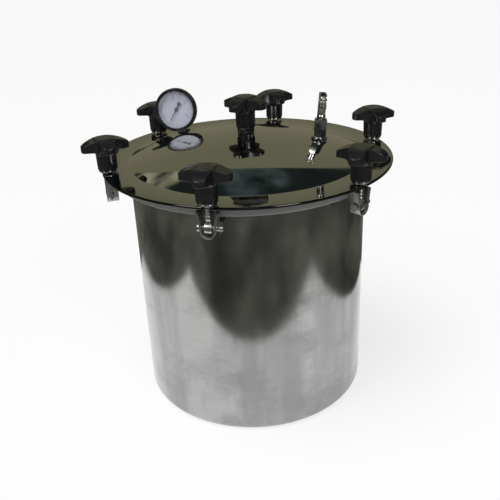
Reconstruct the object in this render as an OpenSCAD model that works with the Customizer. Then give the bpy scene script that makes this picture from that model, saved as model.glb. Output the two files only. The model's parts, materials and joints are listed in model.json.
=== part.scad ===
// Portable steam autoclave with a domed lift-off lid, six swing bolts and four-armed knobs.
// Origin: centre of the flat base. +Z is up, and the front, with the gauge's dial, is -Y.
// Lengths are millimetres and angles are degrees.

/* [Vessel] */
// Outer radius of the vessel wall
body_r = 150; // [130:1:170]
// Height of the sealing face above the floor
rim_z = 315; // [270:1:360]
// Thickness of the vessel wall and floor
wall_t = 2; // [1:0.5:4]
// Outer radius of the vessel's bottom corner
corner_r = 10; // [6:0.5:20]
// Width of the rim ring, out from the wall
rim_w = 18; // [14:0.5:24]
// Thickness of the rim ring
rim_t = 9; // [6:0.5:14]
// Thickness of the gasket
seal_t = 4; // [2:0.5:6]
// Width of the gasket
seal_w = 15; // [10:0.5:18]

/* [Lid] */
// Distance that the lid's flange reaches past the rim ring
lid_over = 16; // [12:0.5:22]
// Thickness of the lid's flange
flange_t = 4; // [3:0.5:8]
// Thickness of the dome's sheet
dome_t = 3; // [2:0.5:4]
// Rise of the dome above the flange
dome_rise = 28.5; // [15:0.5:40]
// Radius of the flange's rounded edge
edge_r = 1.5; // [0.5:0.25:1.75]
// Length of the blank label plate
label_l = 36; // [25:1:50]
// Width of the blank label plate
label_w = 9.5; // [8:0.5:16]
// Thickness of the blank label plate
label_t = 0.6; // [0.4:0.1:1.5]
// Direction of the label plate from the lid's middle
label_a = -75; // [-82:1:-66]

/* [Clamps] */
// Diameter of the swing bolts
bolt_d = 8; // [6:0.5:9]
// Side clearance of a bolt in its slot
slot_play = 0.7; // [0.5:0.1:1.5]
// Distance from the bolt circle to the lid's edge
bolt_edge = 8; // [6:0.5:10]
// Depth of the hinge pins below the top of the lid's flange
pin_drop = 27; // [24:0.5:34]
// Diameter of the hinge pins
pin_d = 6; // [4:0.5:6.5]
// Outer radius of a bolt's eye
eye_r = 6.5; // [6:0.25:8]
// Width of a bolt's eye
eye_w = 9; // [6:0.5:10]
// Thickness of the bracket strap
strap_t = 2.5; // [2:0.25:3.5]
// Width of the bracket strap, out from the rim ring
strap_w = 14; // [10:0.5:16]
// Half of the strap's width where it is widest
strap_half = 12.5; // [11:0.5:15]
// Outer radius of the strap's bend
bend_r = 9; // [8.5:0.25:11]
// Distance from the hinge pin down to the middle of the bend
bend_drop = 2.5; // [1:0.5:5]
// Gap under the washers, with the knobs backed off by one turn
clamp_gap = 1.3; // [1.2:0.1:3]
// Outer diameter of the clamp washers
washer_d = 22; // [16:1:26]
// Thickness of the clamp washers
washer_t = 2; // [1:0.25:3]

/* [Knobs] */
// Whole height of a knob
knob_h = 39.5; // [38:0.5:50]
// Span of a knob's arms
knob_span = 58; // [50:1:60]
// Radius of a knob's hub at its foot
hub_foot_r = 12; // [9:0.5:14]
// Radius of a knob's hub where the arms leave it
hub_top_r = 12.5; // [12:0.5:14]
// Drop of the arms' arched top at their tips
arm_sag = 8; // [4:0.5:9]
// Thickness of the head in its middle
head_t = 15; // [12:0.5:16]
// Radius of the fillet from the hub to an arm
flare_r = 4; // [3:0.5:6]
// Half of an arm's width at its tip
arm_tip_half = 5.5; // [4:0.5:8]
// Half of an arm's width at the knob's middle
arm_mid_half = 12; // [9:0.5:14]
// Radius of the threaded brass insert
insert_r = 6.5; // [5.5:0.25:8]
// Length of the threaded brass insert
insert_l = 22; // [15:1:24]

/* [Lid handle] */
// Height of the nut under the lid's handle
handle_nut_h = 6.5; // [5:0.5:12]
// Width across the corners of the nut under the lid's handle
handle_nut_d = 22; // [16:1:24]
// Width across the corners of the nut inside the lid
nut_d = 17; // [15:0.5:20]
// Height of the nuts inside the lid
lock_nut_h = 6; // [4:0.5:8]

/* [Gauge] */
// Distance from the gauge's bezel in to the dome's edge
gauge_margin = 12; // [12:1:28]
// Direction of the gauge from the lid's middle
gauge_dir = 154; // [154:1:186]
// Outward lean of the gauge
gauge_lean = 15; // [0:1:16]
// Turn of the dial away from the front
gauge_turn = 4; // [-20:1:30]
// Outer radius of the gauge's case behind the bezel
case_r = 27; // [24:0.5:28]
// Step of the case's wall behind the dial
case_step = 3; // [1:0.5:4]
// Room between the socket's block and the back of the gauge's case
case_room = 1.2; // [0.5:0.1:4]
// Wall of the gauge's case
case_t = 1.5; // [1:0.25:2]
// Gap between the bezel and the dome
gauge_gap = 2.5; // [2:0.5:12]
// Width of the bezel's lip over the glass
bezel_lip = 1.5; // [1:0.25:4]
// Thickness of the glass
glass_t = 2; // [1:0.25:3]
// Thickness of the dial plate
dial_t = 0.8; // [0.5:0.1:1.2]
// Length of the pointer from its pivot
pointer_l = 18; // [14:0.5:20]
// Distance from the pivot to the middle of the pointer's counterweight
pointer_tail = 8.5; // [6:0.5:11]
// Angle of the pointer at zero, clockwise from the top
pointer_zero = 222; // [200:1:240]

/* [Release valve] */
// Distance from the valve's ring in to the dome's edge
valve_margin = 49.5; // [35:0.5:60]
// Direction of the valve from the lid's middle
valve_dir = 9; // [-20:1:20]
// Outward lean of the valve
valve_lean = 5; // [0:1:12]
// Direction of the valve's lever
valve_turn = 105; // [60:1:150]
// Diameter of the ring at the valve's foot
valve_ring_d = 20; // [17:0.5:24]
// Height of the ring at the valve's foot
valve_ring_h = 4; // [3:0.5:6]
// Width of the valve's hexagon across its corners
valve_hex_d = 17; // [15:0.5:19]
// Height of the valve's hexagon
valve_hex_h = 22; // [14:0.5:28]
// Outer diameter of the valve's barrel
barrel_d = 11; // [10:0.5:13]
// Height of the valve's barrel above the hexagon
barrel_h = 18; // [16:0.5:28]
// Diameter of the valve's stem
stem_d = 4; // [3:0.25:5]
// Radius of the lever's cam
cam_r = 6.5; // [5.5:0.25:8]
// Offset of the cam's middle from the lever's pin
cam_off = 1.5; // [0.5:0.25:2]
// Gap between the tip of the lever's arm and the hexagon
lever_gap = 1; // [0.5:0.5:8]

/* [Stand and basket] */
// Height of the support stand
stand_h = 30; // [20:1:45]
// Thickness of the stand's plate
stand_t = 2; // [1:0.5:3]
// Radius of the stand's feet
foot_r = 6.5; // [5:0.5:10]
// Gap between the vessel's wall and the stand
stand_play = 12; // [5:1:20]
// Gap between the vessel's wall and the basket
basket_play = 24; // [20:1:45]
// Height of the basket's wall
basket_h = 160; // [120:5:165]
// Sheet thickness of the basket
basket_t = 1; // [0.8:0.1:2]
// Radius of the holes in the basket and stand
hole_r = 5; // [3:0.5:6]
// Number of hole rows in the basket's wall
hole_rows = 2; // [1:1:5]
// Number of holes in each row
hole_count = 12; // [8:2:24]
// Radius of the bail's wire
wire_r = 2.5; // [2:0.25:3]

/* [Hidden] */
$fn = 64;
// Facets of the wide arcs: the knobs' arched tops and the dome
arc_fn = 256;

// Overrun of every cut, so that no skin is left
over = 2;
// Radial clearance of pieces that turn or slide on each other
run_gap = 0.1;
// Radial clearance of pieces that are pressed or screwed together
press_gap = 0.02;
// Clearance between curved faces that are welded or lie side by side
weld_gap = 0.1;
// Clearance under a piece that rests on a curved or loose seat
seat_gap = 0.3;

// Clamps stand at equal steps around the lid, the first one at the angle clamp_turn
clamp_count = 6;
clamp_turn = 30;
// Direction of each clamp knob's first arm, clamps 1 to 6
knob_turns = [27, 32, 30, 39.5, 2, 77.5];
// Direction of the handle's first arm
handle_turn = 71.5;

// Places that follow from the sizes above
rim_r = body_r + rim_w;
lid_r = rim_r + lid_over;
flange_z = rim_z + seal_t;
top_z = flange_z + flange_t;
dome_r = body_r + edge_r;
cap_r = (dome_r * dome_r + dome_rise * dome_rise) / (dome_rise + dome_rise);
apex_z = top_z + dome_rise;
bolt_c = lid_r - bolt_edge;
bolt_r = bolt_d / 2;
pin_r = pin_d / 2;
pin_z = top_z - pin_drop;
bend_z = pin_z - bend_drop;
washer_z = top_z + clamp_gap;
knob_z = washer_z + washer_t;
washer_r = washer_d / 2;

// Height of the dome's outer face at distance r from the axis
function dome_z(r) = apex_z - cap_r + sqrt(cap_r * cap_r - r * r);
// Direction of clamp k, counted from 1
function clamp_angle(k) = clamp_turn + (k - 1) * 360 / clamp_count;
// A cup's outline with a rounded bottom corner, for turning about the axis
module cup_outline(r, h, c) {
    square([r - c, c]);
    translate([0, c])
        square([r, h - c]);
    translate([r - c, c])
        intersection() {
            circle(c);
            translate([0, -c])
                square([c, c]);
        }
}

// A bar with both outer corners rounded, from x0 to x1 and z0 to z1
module edge_outline(x0, x1, z0, z1, c) {
    translate([x0, z0])
        square([x1 - c - x0, z1 - z0]);
    translate([x1 - c, z0 + c])
        square([c, z1 - z0 - c - c]);
    for (z = [z0 + c, z1 - c])
        translate([x1 - c, z])
            circle(c);
}

// A washer or tube: outer radius, inner radius, height
module ring(ro, ri, h) {
    difference() {
        cylinder(r = ro, h = h);
        translate([0, 0, -over])
            cylinder(r = ri, h = h + over + over);
    }
}

// A hexagon nut: width across corners, bore radius, height
module hex_nut(d, ri, h) {
    difference() {
        cylinder(d = d, h = h, $fn = 6);
        translate([0, 0, -over])
            cylinder(r = ri, h = h + over + over);
    }
}

// Puts its children at clamp k, with X pointing out and the origin on the bolt's axis
module at_clamp(k) {
    rotate([0, 0, clamp_angle(k)])
        translate([bolt_c, 0, 0])
            children();
}

// A strap's outline: a half-round bend, upright legs up to height b, then legs that
// open to half width w at height h
module drop_outline(r, b, w, h) {
    intersection() {
        circle(r);
        translate([-r, -r])
            square([r + r, r]);
    }
    polygon([[-r, 0], [r, 0], [r, b], [w, h], [-w, h], [-r, b]]);
}

module vessel_shell() {
    color([0.66, 0.67, 0.66])
        difference() {
            rotate_extrude()
                cup_outline(body_r, rim_z, corner_r);
            translate([0, 0, wall_t])
                rotate_extrude()
                    cup_outline(body_r - wall_t, rim_z, corner_r - wall_t);
        }
}

module rim_ring() {
    color([0.72, 0.73, 0.72])
        rotate_extrude()
            edge_outline(body_r + weld_gap, rim_r, rim_z - rim_t, rim_z, edge_r);
}

module lid_gasket() {
    color([0.06, 0.06, 0.06])
        translate([0, 0, rim_z])
            ring(rim_r - edge_r, rim_r - edge_r - seal_w, seal_t);
}

// How far each of the strap's legs opens for a unit of height above the hinge pin
strap_flare = (strap_half - bend_r) / (rim_z - pin_z);
// Distance of the strap's inner edge from the axis, where its legs meet the rim ring
strap_x = sqrt(rim_r * rim_r - (strap_half - strap_t) * (strap_half - strap_t)) + weld_gap;

// Six straps, bent to a U and welded to the rim ring, with a bore through both legs
module clamp_brackets() {
    color([0.62, 0.63, 0.62])
        for (k = [1:clamp_count])
            at_clamp(k)
                bracket();
}

module bracket() {
    leg_h = rim_z - bend_z;
    in_half = strap_half - strap_t + strap_flare * over;
    difference() {
        translate([strap_x - bolt_c, 0, bend_z])
            rotate([90, 0, 90])
                linear_extrude(strap_w)
                    difference() {
                        drop_outline(bend_r, bend_drop, strap_half, leg_h);
                        drop_outline(bend_r - strap_t, bend_drop, in_half, leg_h + over);
                    }
        translate([0, 0, pin_z])
            rotate([90, 0, 0])
                cylinder(r = pin_r + press_gap, h = strap_half + strap_half, center = true);
    }
}

// The hinge pin's head, and where it and the pin's other end stand outside the strap's legs
pin_head_t = strap_t;
pin_head_r = pin_r * 3 / 2;
pin_near = bend_r + pin_head_r * strap_flare + weld_gap * 2;
pin_far = pin_near + pin_d;
split_r = pin_r / 3.5;
split_y = pin_near + pin_r;

// Six hinge pins, each with a head and a cross hole for its split pin
module hinge_pins() {
    color([0.75, 0.75, 0.74])
        for (k = [1:clamp_count])
            at_clamp(k)
                translate([0, 0, pin_z])
                    rotate([-90, 0, 0])
                        difference() {
                            union() {
                                translate([0, 0, -pin_near - pin_head_t])
                                    cylinder(r = pin_head_r, h = pin_head_t);
                                translate([0, 0, -pin_near - pin_head_t])
                                    cylinder(r = pin_r, h = pin_near + pin_head_t + pin_far);
                            }
                            translate([0, 0, split_y])
                                rotate([90, 0, 0])
                                    cylinder(r = split_r + weld_gap, h = pin_d + over, center = true);
                        }
}

// Six split pins: an eye above the hinge pin, a shank through it and a bent foot
module split_pins() {
    color([0.78, 0.78, 0.76])
        for (k = [1:clamp_count])
            at_clamp(k)
                translate([0, split_y, pin_z])
                    split_pin();
}

module split_pin() {
    eye = split_r + split_r;
    translate([0, 0, -pin_r - eye])
        cylinder(r = split_r, h = pin_d + eye + split_r);
    translate([0, 0, pin_r + eye + split_r])
        rotate([0, 90, 0])
            rotate_extrude()
                translate([eye, 0])
                    circle(split_r / 2);
    translate([0, 0, -pin_r - eye])
        rotate([0, 90, 0])
            cylinder(r = split_r, h = pin_r);
}

module swing_bolt(k) {
    top = knob_z + insert_l;
    color([0.7, 0.7, 0.69])
        at_clamp(k)
            difference() {
                union() {
                    translate([0, 0, pin_z])
                        rotate([90, 0, 0])
                            cylinder(r = eye_r, h = eye_w, center = true);
                    translate([0, 0, pin_z])
                        cylinder(r = bolt_r, h = top - pin_z);
                }
                translate([0, 0, pin_z])
                    rotate([90, 0, 0])
                        cylinder(r = pin_r + run_gap, h = eye_w + over, center = true);
            }
}

module clamp_washer(k) {
    color([0.74, 0.74, 0.73])
        at_clamp(k)
            translate([0, 0, washer_z])
                ring(washer_r, bolt_r + run_gap, washer_t);
}

module clamp_insert(k) {
    color([0.7, 0.6, 0.32])
        at_clamp(k)
            translate([0, 0, knob_z])
                ring(insert_r - press_gap, bolt_r + run_gap, insert_l);
}

module clamp_knob(k) {
    color([0.07, 0.07, 0.07])
        at_clamp(k)
            translate([0, 0, knob_z])
                rotate([0, 0, knob_turns[k - 1] - clamp_angle(k)])
                    cross_knob();
}

// A four-armed knob that stands on its foot, with a bore for its insert
module cross_knob() {
    difference() {
        union() {
            rotate_extrude()
                hub_outline(knob_h - head_t - flare_r);
            for (a = [0, 90])
                rotate([0, 0, a])
                    arm_pair();
        }
        translate([0, 0, -over])
            cylinder(r = insert_r, h = insert_l + bolt_r + over);
    }
}

// Two arms in one line, cut from their side view and their plan
module arm_pair() {
    intersection() {
        rotate([90, 0, 0])
            linear_extrude((hub_top_r + arm_mid_half) * 2, center = true)
                arm_side();
        linear_extrude(knob_h)
            arm_plan();
    }
}

// Outline of the hub: a shank up to height b and a shoulder under the head
module hub_outline(b) {
    shoulder = head_t / 3;
    polygon([[0, 0], [hub_foot_r, 0], [hub_top_r, b], [hub_top_r, knob_h - head_t],
        [hub_top_r - shoulder, knob_h - head_t + shoulder], [0, knob_h - head_t + shoulder]]);
}

// The arms from their side: an arched top, upright tips and a level underside with a fillet at the hub
module arm_side() {
    half = knob_span / 2;
    arch_r = (half * half + arm_sag * arm_sag) / (arm_sag + arm_sag);
    difference() {
        intersection() {
            translate([0, knob_h - arch_r])
                circle(arch_r, $fn = arc_fn);
            translate([-half, knob_h - head_t - flare_r])
                square([knob_span, head_t + flare_r]);
        }
        for (s = [-1, 1])
            hull()
                for (x = [hub_top_r + flare_r, half + flare_r])
                    translate([s * x, knob_h - head_t - flare_r])
                        circle(flare_r);
    }
}

// The arms from above: two shallow arcs, wider at the hub than at the tips
module arm_plan() {
    half = knob_span / 2;
    bulge = arm_mid_half - arm_tip_half;
    side_r = (half * half + bulge * bulge) / (bulge + bulge);
    intersection() {
        translate([0, side_r - arm_mid_half])
            circle(side_r);
        translate([0, arm_mid_half - side_r])
            circle(side_r);
    }
}

// Puts its children on the dome, at distance r in direction a, with Z leaning outward
module on_dome(r, a, lean) {
    rotate([0, 0, a])
        translate([r, 0, dome_z(r)])
            rotate([0, lean, 0])
                rotate([0, 0, -a])
                    children();
}

// Puts its children on the dome, tilted like its surface there
module on_slope(r, a) {
    on_dome(r, a, asin(r / cap_r))
        children();
}

// The space below the dome's slope, raised by the seat's clearance
module below_dome(r, a) {
    on_slope(r, a)
        translate([-port_nut_d, -port_nut_d, seat_gap / 2 - port_nut_d])
            cube([port_nut_d * 2, port_nut_d * 2, port_nut_d]);
}

// A rod through the dome for a port
module port_bore() {
    translate([0, 0, -port_reach])
        cylinder(r = port_r + run_gap, h = port_reach * 2);
}

// A pressed dome in a flat flange, with six open slots and three bores
module lid_shell() {
    color([0.78, 0.78, 0.72])
        difference() {
            rotate_extrude()
                lid_outline();
            for (k = [1:clamp_count])
                at_clamp(k)
                    bolt_slot();
            translate([0, 0, rim_z])
                cylinder(r = bolt_r + run_gap, h = apex_z - rim_z + over);
            on_dome(gauge_dist, gauge_dir, gauge_lean)
                port_bore();
            on_dome(valve_dist, valve_dir, valve_lean)
                port_bore();
        }
}

module lid_outline() {
    edge_outline(dome_r - dome_t, lid_r, flange_z, top_z, edge_r);
    intersection() {
        difference() {
            translate([0, apex_z - cap_r])
                circle(cap_r, $fn = arc_fn);
            translate([0, apex_z - cap_r])
                circle(cap_r - dome_t, $fn = arc_fn);
        }
        translate([0, flange_z])
            square([dome_r, flange_t + dome_rise]);
    }
}

module bolt_slot() {
    r = bolt_r + slot_play;
    translate([0, 0, rim_z])
        cylinder(r = r, h = seal_t + flange_t + over);
    translate([0, -r, rim_z])
        cube([bolt_edge + over, r + r, seal_t + flange_t + over]);
}

// A blank plate on the flange, bent to the lid's round
module label_plate() {
    mid_r = (dome_r + lid_r) / 2;
    span = label_l / mid_r * 180 / PI;
    color([0.3, 0.31, 0.3])
        rotate([0, 0, label_a - span / 2])
            rotate_extrude(angle = span)
                translate([mid_r - label_w / 2, top_z])
                    square([label_w, label_t]);
}

// The handle on the dome, its brass insert, stud and nuts
handle_z = apex_z + handle_nut_h + seat_gap;
handle_in_z = apex_z - dome_t - lock_nut_h;

module handle_knob() {
    color([0.07, 0.07, 0.07])
        translate([0, 0, handle_z])
            rotate([0, 0, handle_turn])
                cross_knob();
}

module handle_insert() {
    color([0.7, 0.6, 0.32])
        translate([0, 0, handle_z])
            ring(insert_r - press_gap, bolt_r + press_gap, insert_l);
}

module handle_stud() {
    color([0.7, 0.7, 0.69])
        translate([0, 0, handle_in_z - bolt_r])
            cylinder(r = bolt_r, h = handle_z + insert_l - handle_in_z + bolt_r);
}

module handle_nut() {
    color([0.8, 0.8, 0.8])
        translate([0, 0, apex_z + seat_gap / 2])
            hex_nut(handle_nut_d, bolt_r + press_gap, handle_nut_h);
}

module handle_lock_nut() {
    color([0.75, 0.75, 0.74])
        translate([0, 0, handle_in_z - seat_gap])
            hex_nut(nut_d, bolt_r + press_gap, lock_nut_h);
}

// Threaded ports of the gauge and the valve: outer and inner radius, and reach below the dome
port_r = 5;
port_in_r = 2;
port_nut_d = 18;
port_reach = dome_t + lock_nut_h + port_in_r;
block_r = port_r + case_t / 2;

// Places along the gauge's depth, with the dial's front at dial_y and the block at 0
dial_y = -block_r - case_t - dial_t;
step_y = dial_y + dial_t + press_gap;
case_front = dial_y - case_t * 2;
case_back = block_r + case_room + case_t;
glass_y = case_front - glass_t;
bezel_r = case_r + case_t + press_gap;
back_r = case_r - case_step;

// Distance from the lid's middle to the gauge, and the dial's height above the dome
gauge_dist = dome_r - bezel_r - gauge_margin;
gauge_up = bezel_r + gauge_gap;

// Puts its children at the gauge: origin at the dial's middle, -Y out of the dial
module at_gauge() {
    on_dome(gauge_dist, gauge_dir, gauge_lean)
        translate([0, 0, gauge_up])
            rotate([0, 0, gauge_turn])
                children();
}

// Turns its children so that their Z points into the dial, along +Y
module facing_back() {
    rotate([-90, 0, 0])
        children();
}

// A stepped cup, open at the front, with a bore at its foot for the socket
module gauge_case() {
    color([0.09, 0.09, 0.09])
        at_gauge()
            difference() {
                facing_back()
                    rotate_extrude()
                        case_outline();
                translate([0, 0, -case_r - over])
                    cylinder(r = port_r + run_gap, h = case_step + case_t * 2 + over);
            }
}

// The cup's wall: a wide front, a step behind the dial and a rounded back edge
module case_outline() {
    round_r = case_t + case_t;
    difference() {
        union() {
            translate([0, case_front])
                square([case_r, step_y + case_t - case_front]);
            translate([0, step_y])
                square([back_r, case_back - round_r - step_y]);
            translate([0, step_y])
                square([back_r - round_r, case_back - step_y]);
            translate([back_r - round_r, case_back - round_r])
                circle(round_r);
        }
        translate([0, case_front - over])
            square([case_r - case_t, step_y - case_front + over]);
        translate([0, case_front])
            square([back_r - case_t, case_back - case_t - case_front]);
    }
}

// A ring pressed over the case's front, with a lip that holds the glass
module gauge_bezel() {
    color([0.08, 0.08, 0.08])
        at_gauge()
            facing_back()
                rotate_extrude() {
                    translate([case_r + press_gap, glass_y])
                        square([case_t, step_y - glass_y]);
                    translate([case_r - case_t - bezel_lip, glass_y - case_t])
                        square([bezel_lip + case_t + case_t + press_gap, case_t]);
                }
}

module gauge_glass() {
    color([0.85, 0.9, 0.92, 0.35])
        at_gauge()
            facing_back()
                translate([0, 0, glass_y])
                    cylinder(r = case_r, h = glass_t);
}

// The dial plate, with a bore for the pointer's shaft
module gauge_dial() {
    color([0.9, 0.9, 0.93])
        at_gauge()
            facing_back()
                translate([0, 0, dial_y])
                    ring(case_r - case_t - press_gap, shaft_r + run_gap, dial_t);
}

// The pointer, its counterweight and its shaft, which ends in the movement
shaft_r = 1;
pointer_t = 0.6;
hub_r = 2.6;
movement_y = dial_y + dial_t + case_t;
module gauge_pointer() {
    color([0.05, 0.05, 0.06])
        at_gauge()
            facing_back() {
                translate([0, 0, dial_y - case_t - pointer_t])
                    cylinder(r = shaft_r, h = movement_y + case_t + case_t - dial_y + case_t + pointer_t);
                translate([0, 0, dial_y - case_t - pointer_t])
                    cylinder(r = hub_r, h = pointer_t + pointer_t);
                rotate([0, 0, pointer_zero])
                    translate([0, 0, dial_y - case_t - pointer_t])
                        linear_extrude(pointer_t)
                            pointer_outline();
            }
}

// The pointer points to -Y here, which is up on the dial
module pointer_outline() {
    polygon([[-shaft_r, 0], [-shaft_r / 5, -pointer_l], [shaft_r / 5, -pointer_l], [shaft_r, 0],
        [shaft_r, pointer_tail], [-shaft_r, pointer_tail]]);
    translate([0, pointer_tail])
        circle(hub_r);
}

// The socket: a square block in the case, a neck through its wall and a threaded port
block_w = block_r + block_r;
block_z = seat_gap - sqrt((back_r - case_t) * (back_r - case_t) - block_r * block_r);
block_h = port_nut_d / 2;
socket_hex_h = gauge_gap - seat_gap;
module gauge_socket() {
    color([0.72, 0.72, 0.7])
        difference() {
            union() {
                at_gauge() {
                    translate([-block_r, -block_r, block_z])
                        cube([block_w, block_w, block_h]);
                    translate([0, 0, -gauge_up - port_reach])
                        cylinder(r = port_r, h = gauge_up + port_reach + block_z + case_t);
                }
                difference() {
                    at_gauge()
                        translate([0, 0, -gauge_up])
                            cylinder(d = port_nut_d, h = socket_hex_h, $fn = 6);
                    below_dome(gauge_dist, gauge_dir);
                }
            }
            at_gauge()
                translate([0, 0, -gauge_up - port_reach - over])
                    cylinder(r = port_in_r, h = gauge_up + port_reach + over + block_z + block_h / 2);
        }
}

// The bent tube: a C of oval section that starts at the socket's block
bourdon_r = back_r - case_t * 3;
bourdon_a = 255;
module bourdon_tube() {
    end_a = acos((block_r + weld_gap) / (bourdon_r - case_t));
    color([0.75, 0.62, 0.3])
        at_gauge()
            facing_back()
                rotate([0, 0, end_a - bourdon_a])
                    rotate_extrude(angle = bourdon_a)
                        translate([bourdon_r - case_t, -port_r / 2]) {
                            translate([0, case_t])
                                square([case_t + case_t, port_r - case_t - case_t]);
                            for (z = [case_t, port_r - case_t])
                                translate([case_t, z])
                                    circle(case_t);
                        }
}

// The movement's housing on top of the block, with a bore for the pointer's shaft
module gauge_movement() {
    low_z = block_z + block_h + press_gap;
    back_y = case_back - case_t - weld_gap;
    color([0.7, 0.6, 0.32])
        at_gauge()
            difference() {
                translate([-block_r - case_t, movement_y, low_z])
                    cube([block_w + case_t + case_t, back_y - movement_y, port_r - low_z]);
                facing_back()
                    translate([0, 0, movement_y - over])
                        cylinder(r = shaft_r + run_gap, h = back_y - movement_y);
            }
}

// A nut under the dome that holds a port: its top follows the dome's slope
module port_nut(r, a, lean) {
    difference() {
        on_dome(r, a, lean)
            translate([0, 0, port_in_r - port_reach])
                hex_nut(port_nut_d, port_r + press_gap, port_reach);
        on_slope(r, a)
            translate([-port_nut_d, -port_nut_d, -dome_t - seat_gap])
                cube([port_nut_d * 2, port_nut_d * 2, port_nut_d]);
    }
}

module gauge_lock_nut() {
    color([0.75, 0.75, 0.74])
        port_nut(gauge_dist, gauge_dir, gauge_lean);
}

module valve_lock_nut() {
    color([0.75, 0.75, 0.74])
        port_nut(valve_dist, valve_dir, valve_lean);
}

// The valve's distance from the lid's middle, and its heights from the ring to the lever's pin
valve_dist = dome_r - valve_ring_d / 2 - valve_margin;
hex_z = valve_ring_h + press_gap;
hex_top_z = hex_z + valve_hex_h;
barrel_z = hex_top_z + press_gap;
barrel_top_z = barrel_z + barrel_h;
lever_z = barrel_top_z + seat_gap / 3 + cam_r - cam_off;
stem_r = stem_d / 2;
barrel_r = barrel_d / 2;
valve_wall = valve_ring_h / 2;
chamber_r = barrel_r - valve_wall / 4;
seat_z = hex_z + valve_wall;
lever_l = lever_z - hex_top_z - lever_gap;
lever_pin_r = stem_r * 3 / 4;
cheek_t = valve_wall;
cheek_y = stem_r + run_gap + run_gap;
arm_t = valve_wall;
arm_x = cam_r + weld_gap * 5;

// Puts its children at the valve: origin on the dome, X along the lever
module at_valve() {
    on_dome(valve_dist, valve_dir, valve_lean)
        rotate([0, 0, valve_turn])
            children();
}

// A ring under the valve, cut to the dome's slope
module valve_ring() {
    color([0.85, 0.85, 0.85])
        difference() {
            at_valve()
                translate([0, 0, -valve_ring_h])
                    ring(valve_ring_d / 2, port_r + run_gap, valve_ring_h * 2);
            below_dome(valve_dist, valve_dir);
        }
}

// The hexagon with the port below, the stem's chamber inside and two vents
module valve_base() {
    color([0.8, 0.8, 0.8])
        at_valve()
            difference() {
                union() {
                    translate([0, 0, hex_z])
                        cylinder(d = valve_hex_d, h = valve_hex_h, $fn = 6);
                    translate([0, 0, -port_reach])
                        cylinder(r = port_r, h = hex_z + port_reach);
                }
                translate([0, 0, -port_reach - over])
                    cylinder(r = port_in_r, h = hex_top_z + port_reach);
                translate([0, 0, seat_z])
                    cylinder(r = chamber_r, h = valve_hex_h + over);
                translate([0, 0, hex_top_z - valve_hex_h / 2])
                    rotate([0, 90, 90])
                        cylinder(r = stem_r, h = valve_hex_d + over, center = true);
            }
}

// The barrel that guides the stem, with a spigot in the chamber
module valve_barrel() {
    color([0.82, 0.82, 0.82])
        at_valve()
            difference() {
                union() {
                    translate([0, 0, barrel_z])
                        rotate_extrude()
                            edge_outline(0, barrel_r, 0, barrel_h, edge_r / 2);
                    translate([0, 0, barrel_z - valve_wall])
                        cylinder(r = chamber_r - press_gap, h = valve_wall + edge_r);
                }
                translate([0, 0, barrel_z - valve_wall - over])
                    cylinder(r = stem_r + run_gap, h = barrel_h + valve_wall + over + over);
            }
}

// The stem: a disc on the valve's seat, a rod and an eye for the lever's pin
module valve_stem() {
    color([0.75, 0.75, 0.74])
        at_valve()
            difference() {
                union() {
                    translate([0, 0, seat_z + press_gap])
                        cylinder(r = chamber_r - run_gap * 3, h = valve_wall);
                    translate([0, 0, seat_z + press_gap])
                        cylinder(r = stem_r, h = lever_z - seat_z - press_gap);
                    translate([0, 0, lever_z])
                        rotate([90, 0, 0])
                            cylinder(r = lever_pin_r + valve_wall, h = stem_d, center = true);
                }
                translate([0, 0, lever_z])
                    rotate([90, 0, 0])
                        cylinder(r = lever_pin_r, h = stem_d + over, center = true);
            }
}

module valve_pin() {
    color([0.6, 0.6, 0.6])
        at_valve()
            translate([0, 0, lever_z])
                rotate([90, 0, 0])
                    cylinder(r = lever_pin_r - press_gap, h = cheek_y + cheek_y + cheek_t * 3, center = true);
}

// The lever: two round cams beside the stem's eye and an arm that hangs down
module valve_lever() {
    web_h = cam_r + cam_off - lever_pin_r / 2;
    color([0.8, 0.8, 0.8])
        at_valve()
            translate([0, 0, lever_z])
                difference() {
                    union() {
                        for (s = [-1, 1])
                            translate([0, s * (cheek_y + cheek_t / 2), 0])
                                lever_cheek();
                        translate([arm_x, -cheek_y - cheek_t, -lever_l])
                            cube([arm_t, cheek_y + cheek_y + cheek_t + cheek_t, lever_l + web_h]);
                    }
                    rotate([90, 0, 0])
                        cylinder(r = lever_pin_r + run_gap, h = valve_hex_d + over, center = true);
                }
}

module lever_cheek() {
    translate([0, 0, cam_off])
        rotate([90, 0, 0])
            cylinder(r = cam_r, h = cheek_t, center = true);
    translate([0, -cheek_t / 2, 0])
        cube([arm_x + arm_t, cheek_t, cam_r + cam_off - lever_pin_r / 2]);
}

// The stand's plate on four feet
stand_r = body_r - wall_t - stand_play;
foot_count = 4;
module support_stand() {
    color([0.7, 0.71, 0.7])
        difference() {
            union() {
                translate([0, 0, wall_t + stand_h - stand_t])
                    cylinder(r = stand_r, h = stand_t);
                for (k = [1:foot_count])
                    rotate([0, 0, k * 360 / foot_count])
                        translate([stand_r - foot_r * 2, 0, wall_t])
                            cylinder(r = foot_r, h = stand_h - stand_t / 2);
            }
            floor_holes(stand_r * 3 / 4, wall_t + stand_h - stand_t, stand_t);
        }
}

// Rings of drain holes in a plate at height z: a middle hole, then 6 and 12
module floor_holes(r, z, t) {
    for (i = [0:2])
        for (k = [1:max(1, i * 6)])
            rotate([0, 0, (k - 0.5) * 360 / max(1, i * 6)])
                translate([r * i / 2, 0, z - over])
                    cylinder(r = hole_r, h = t + over + over);
}

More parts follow.
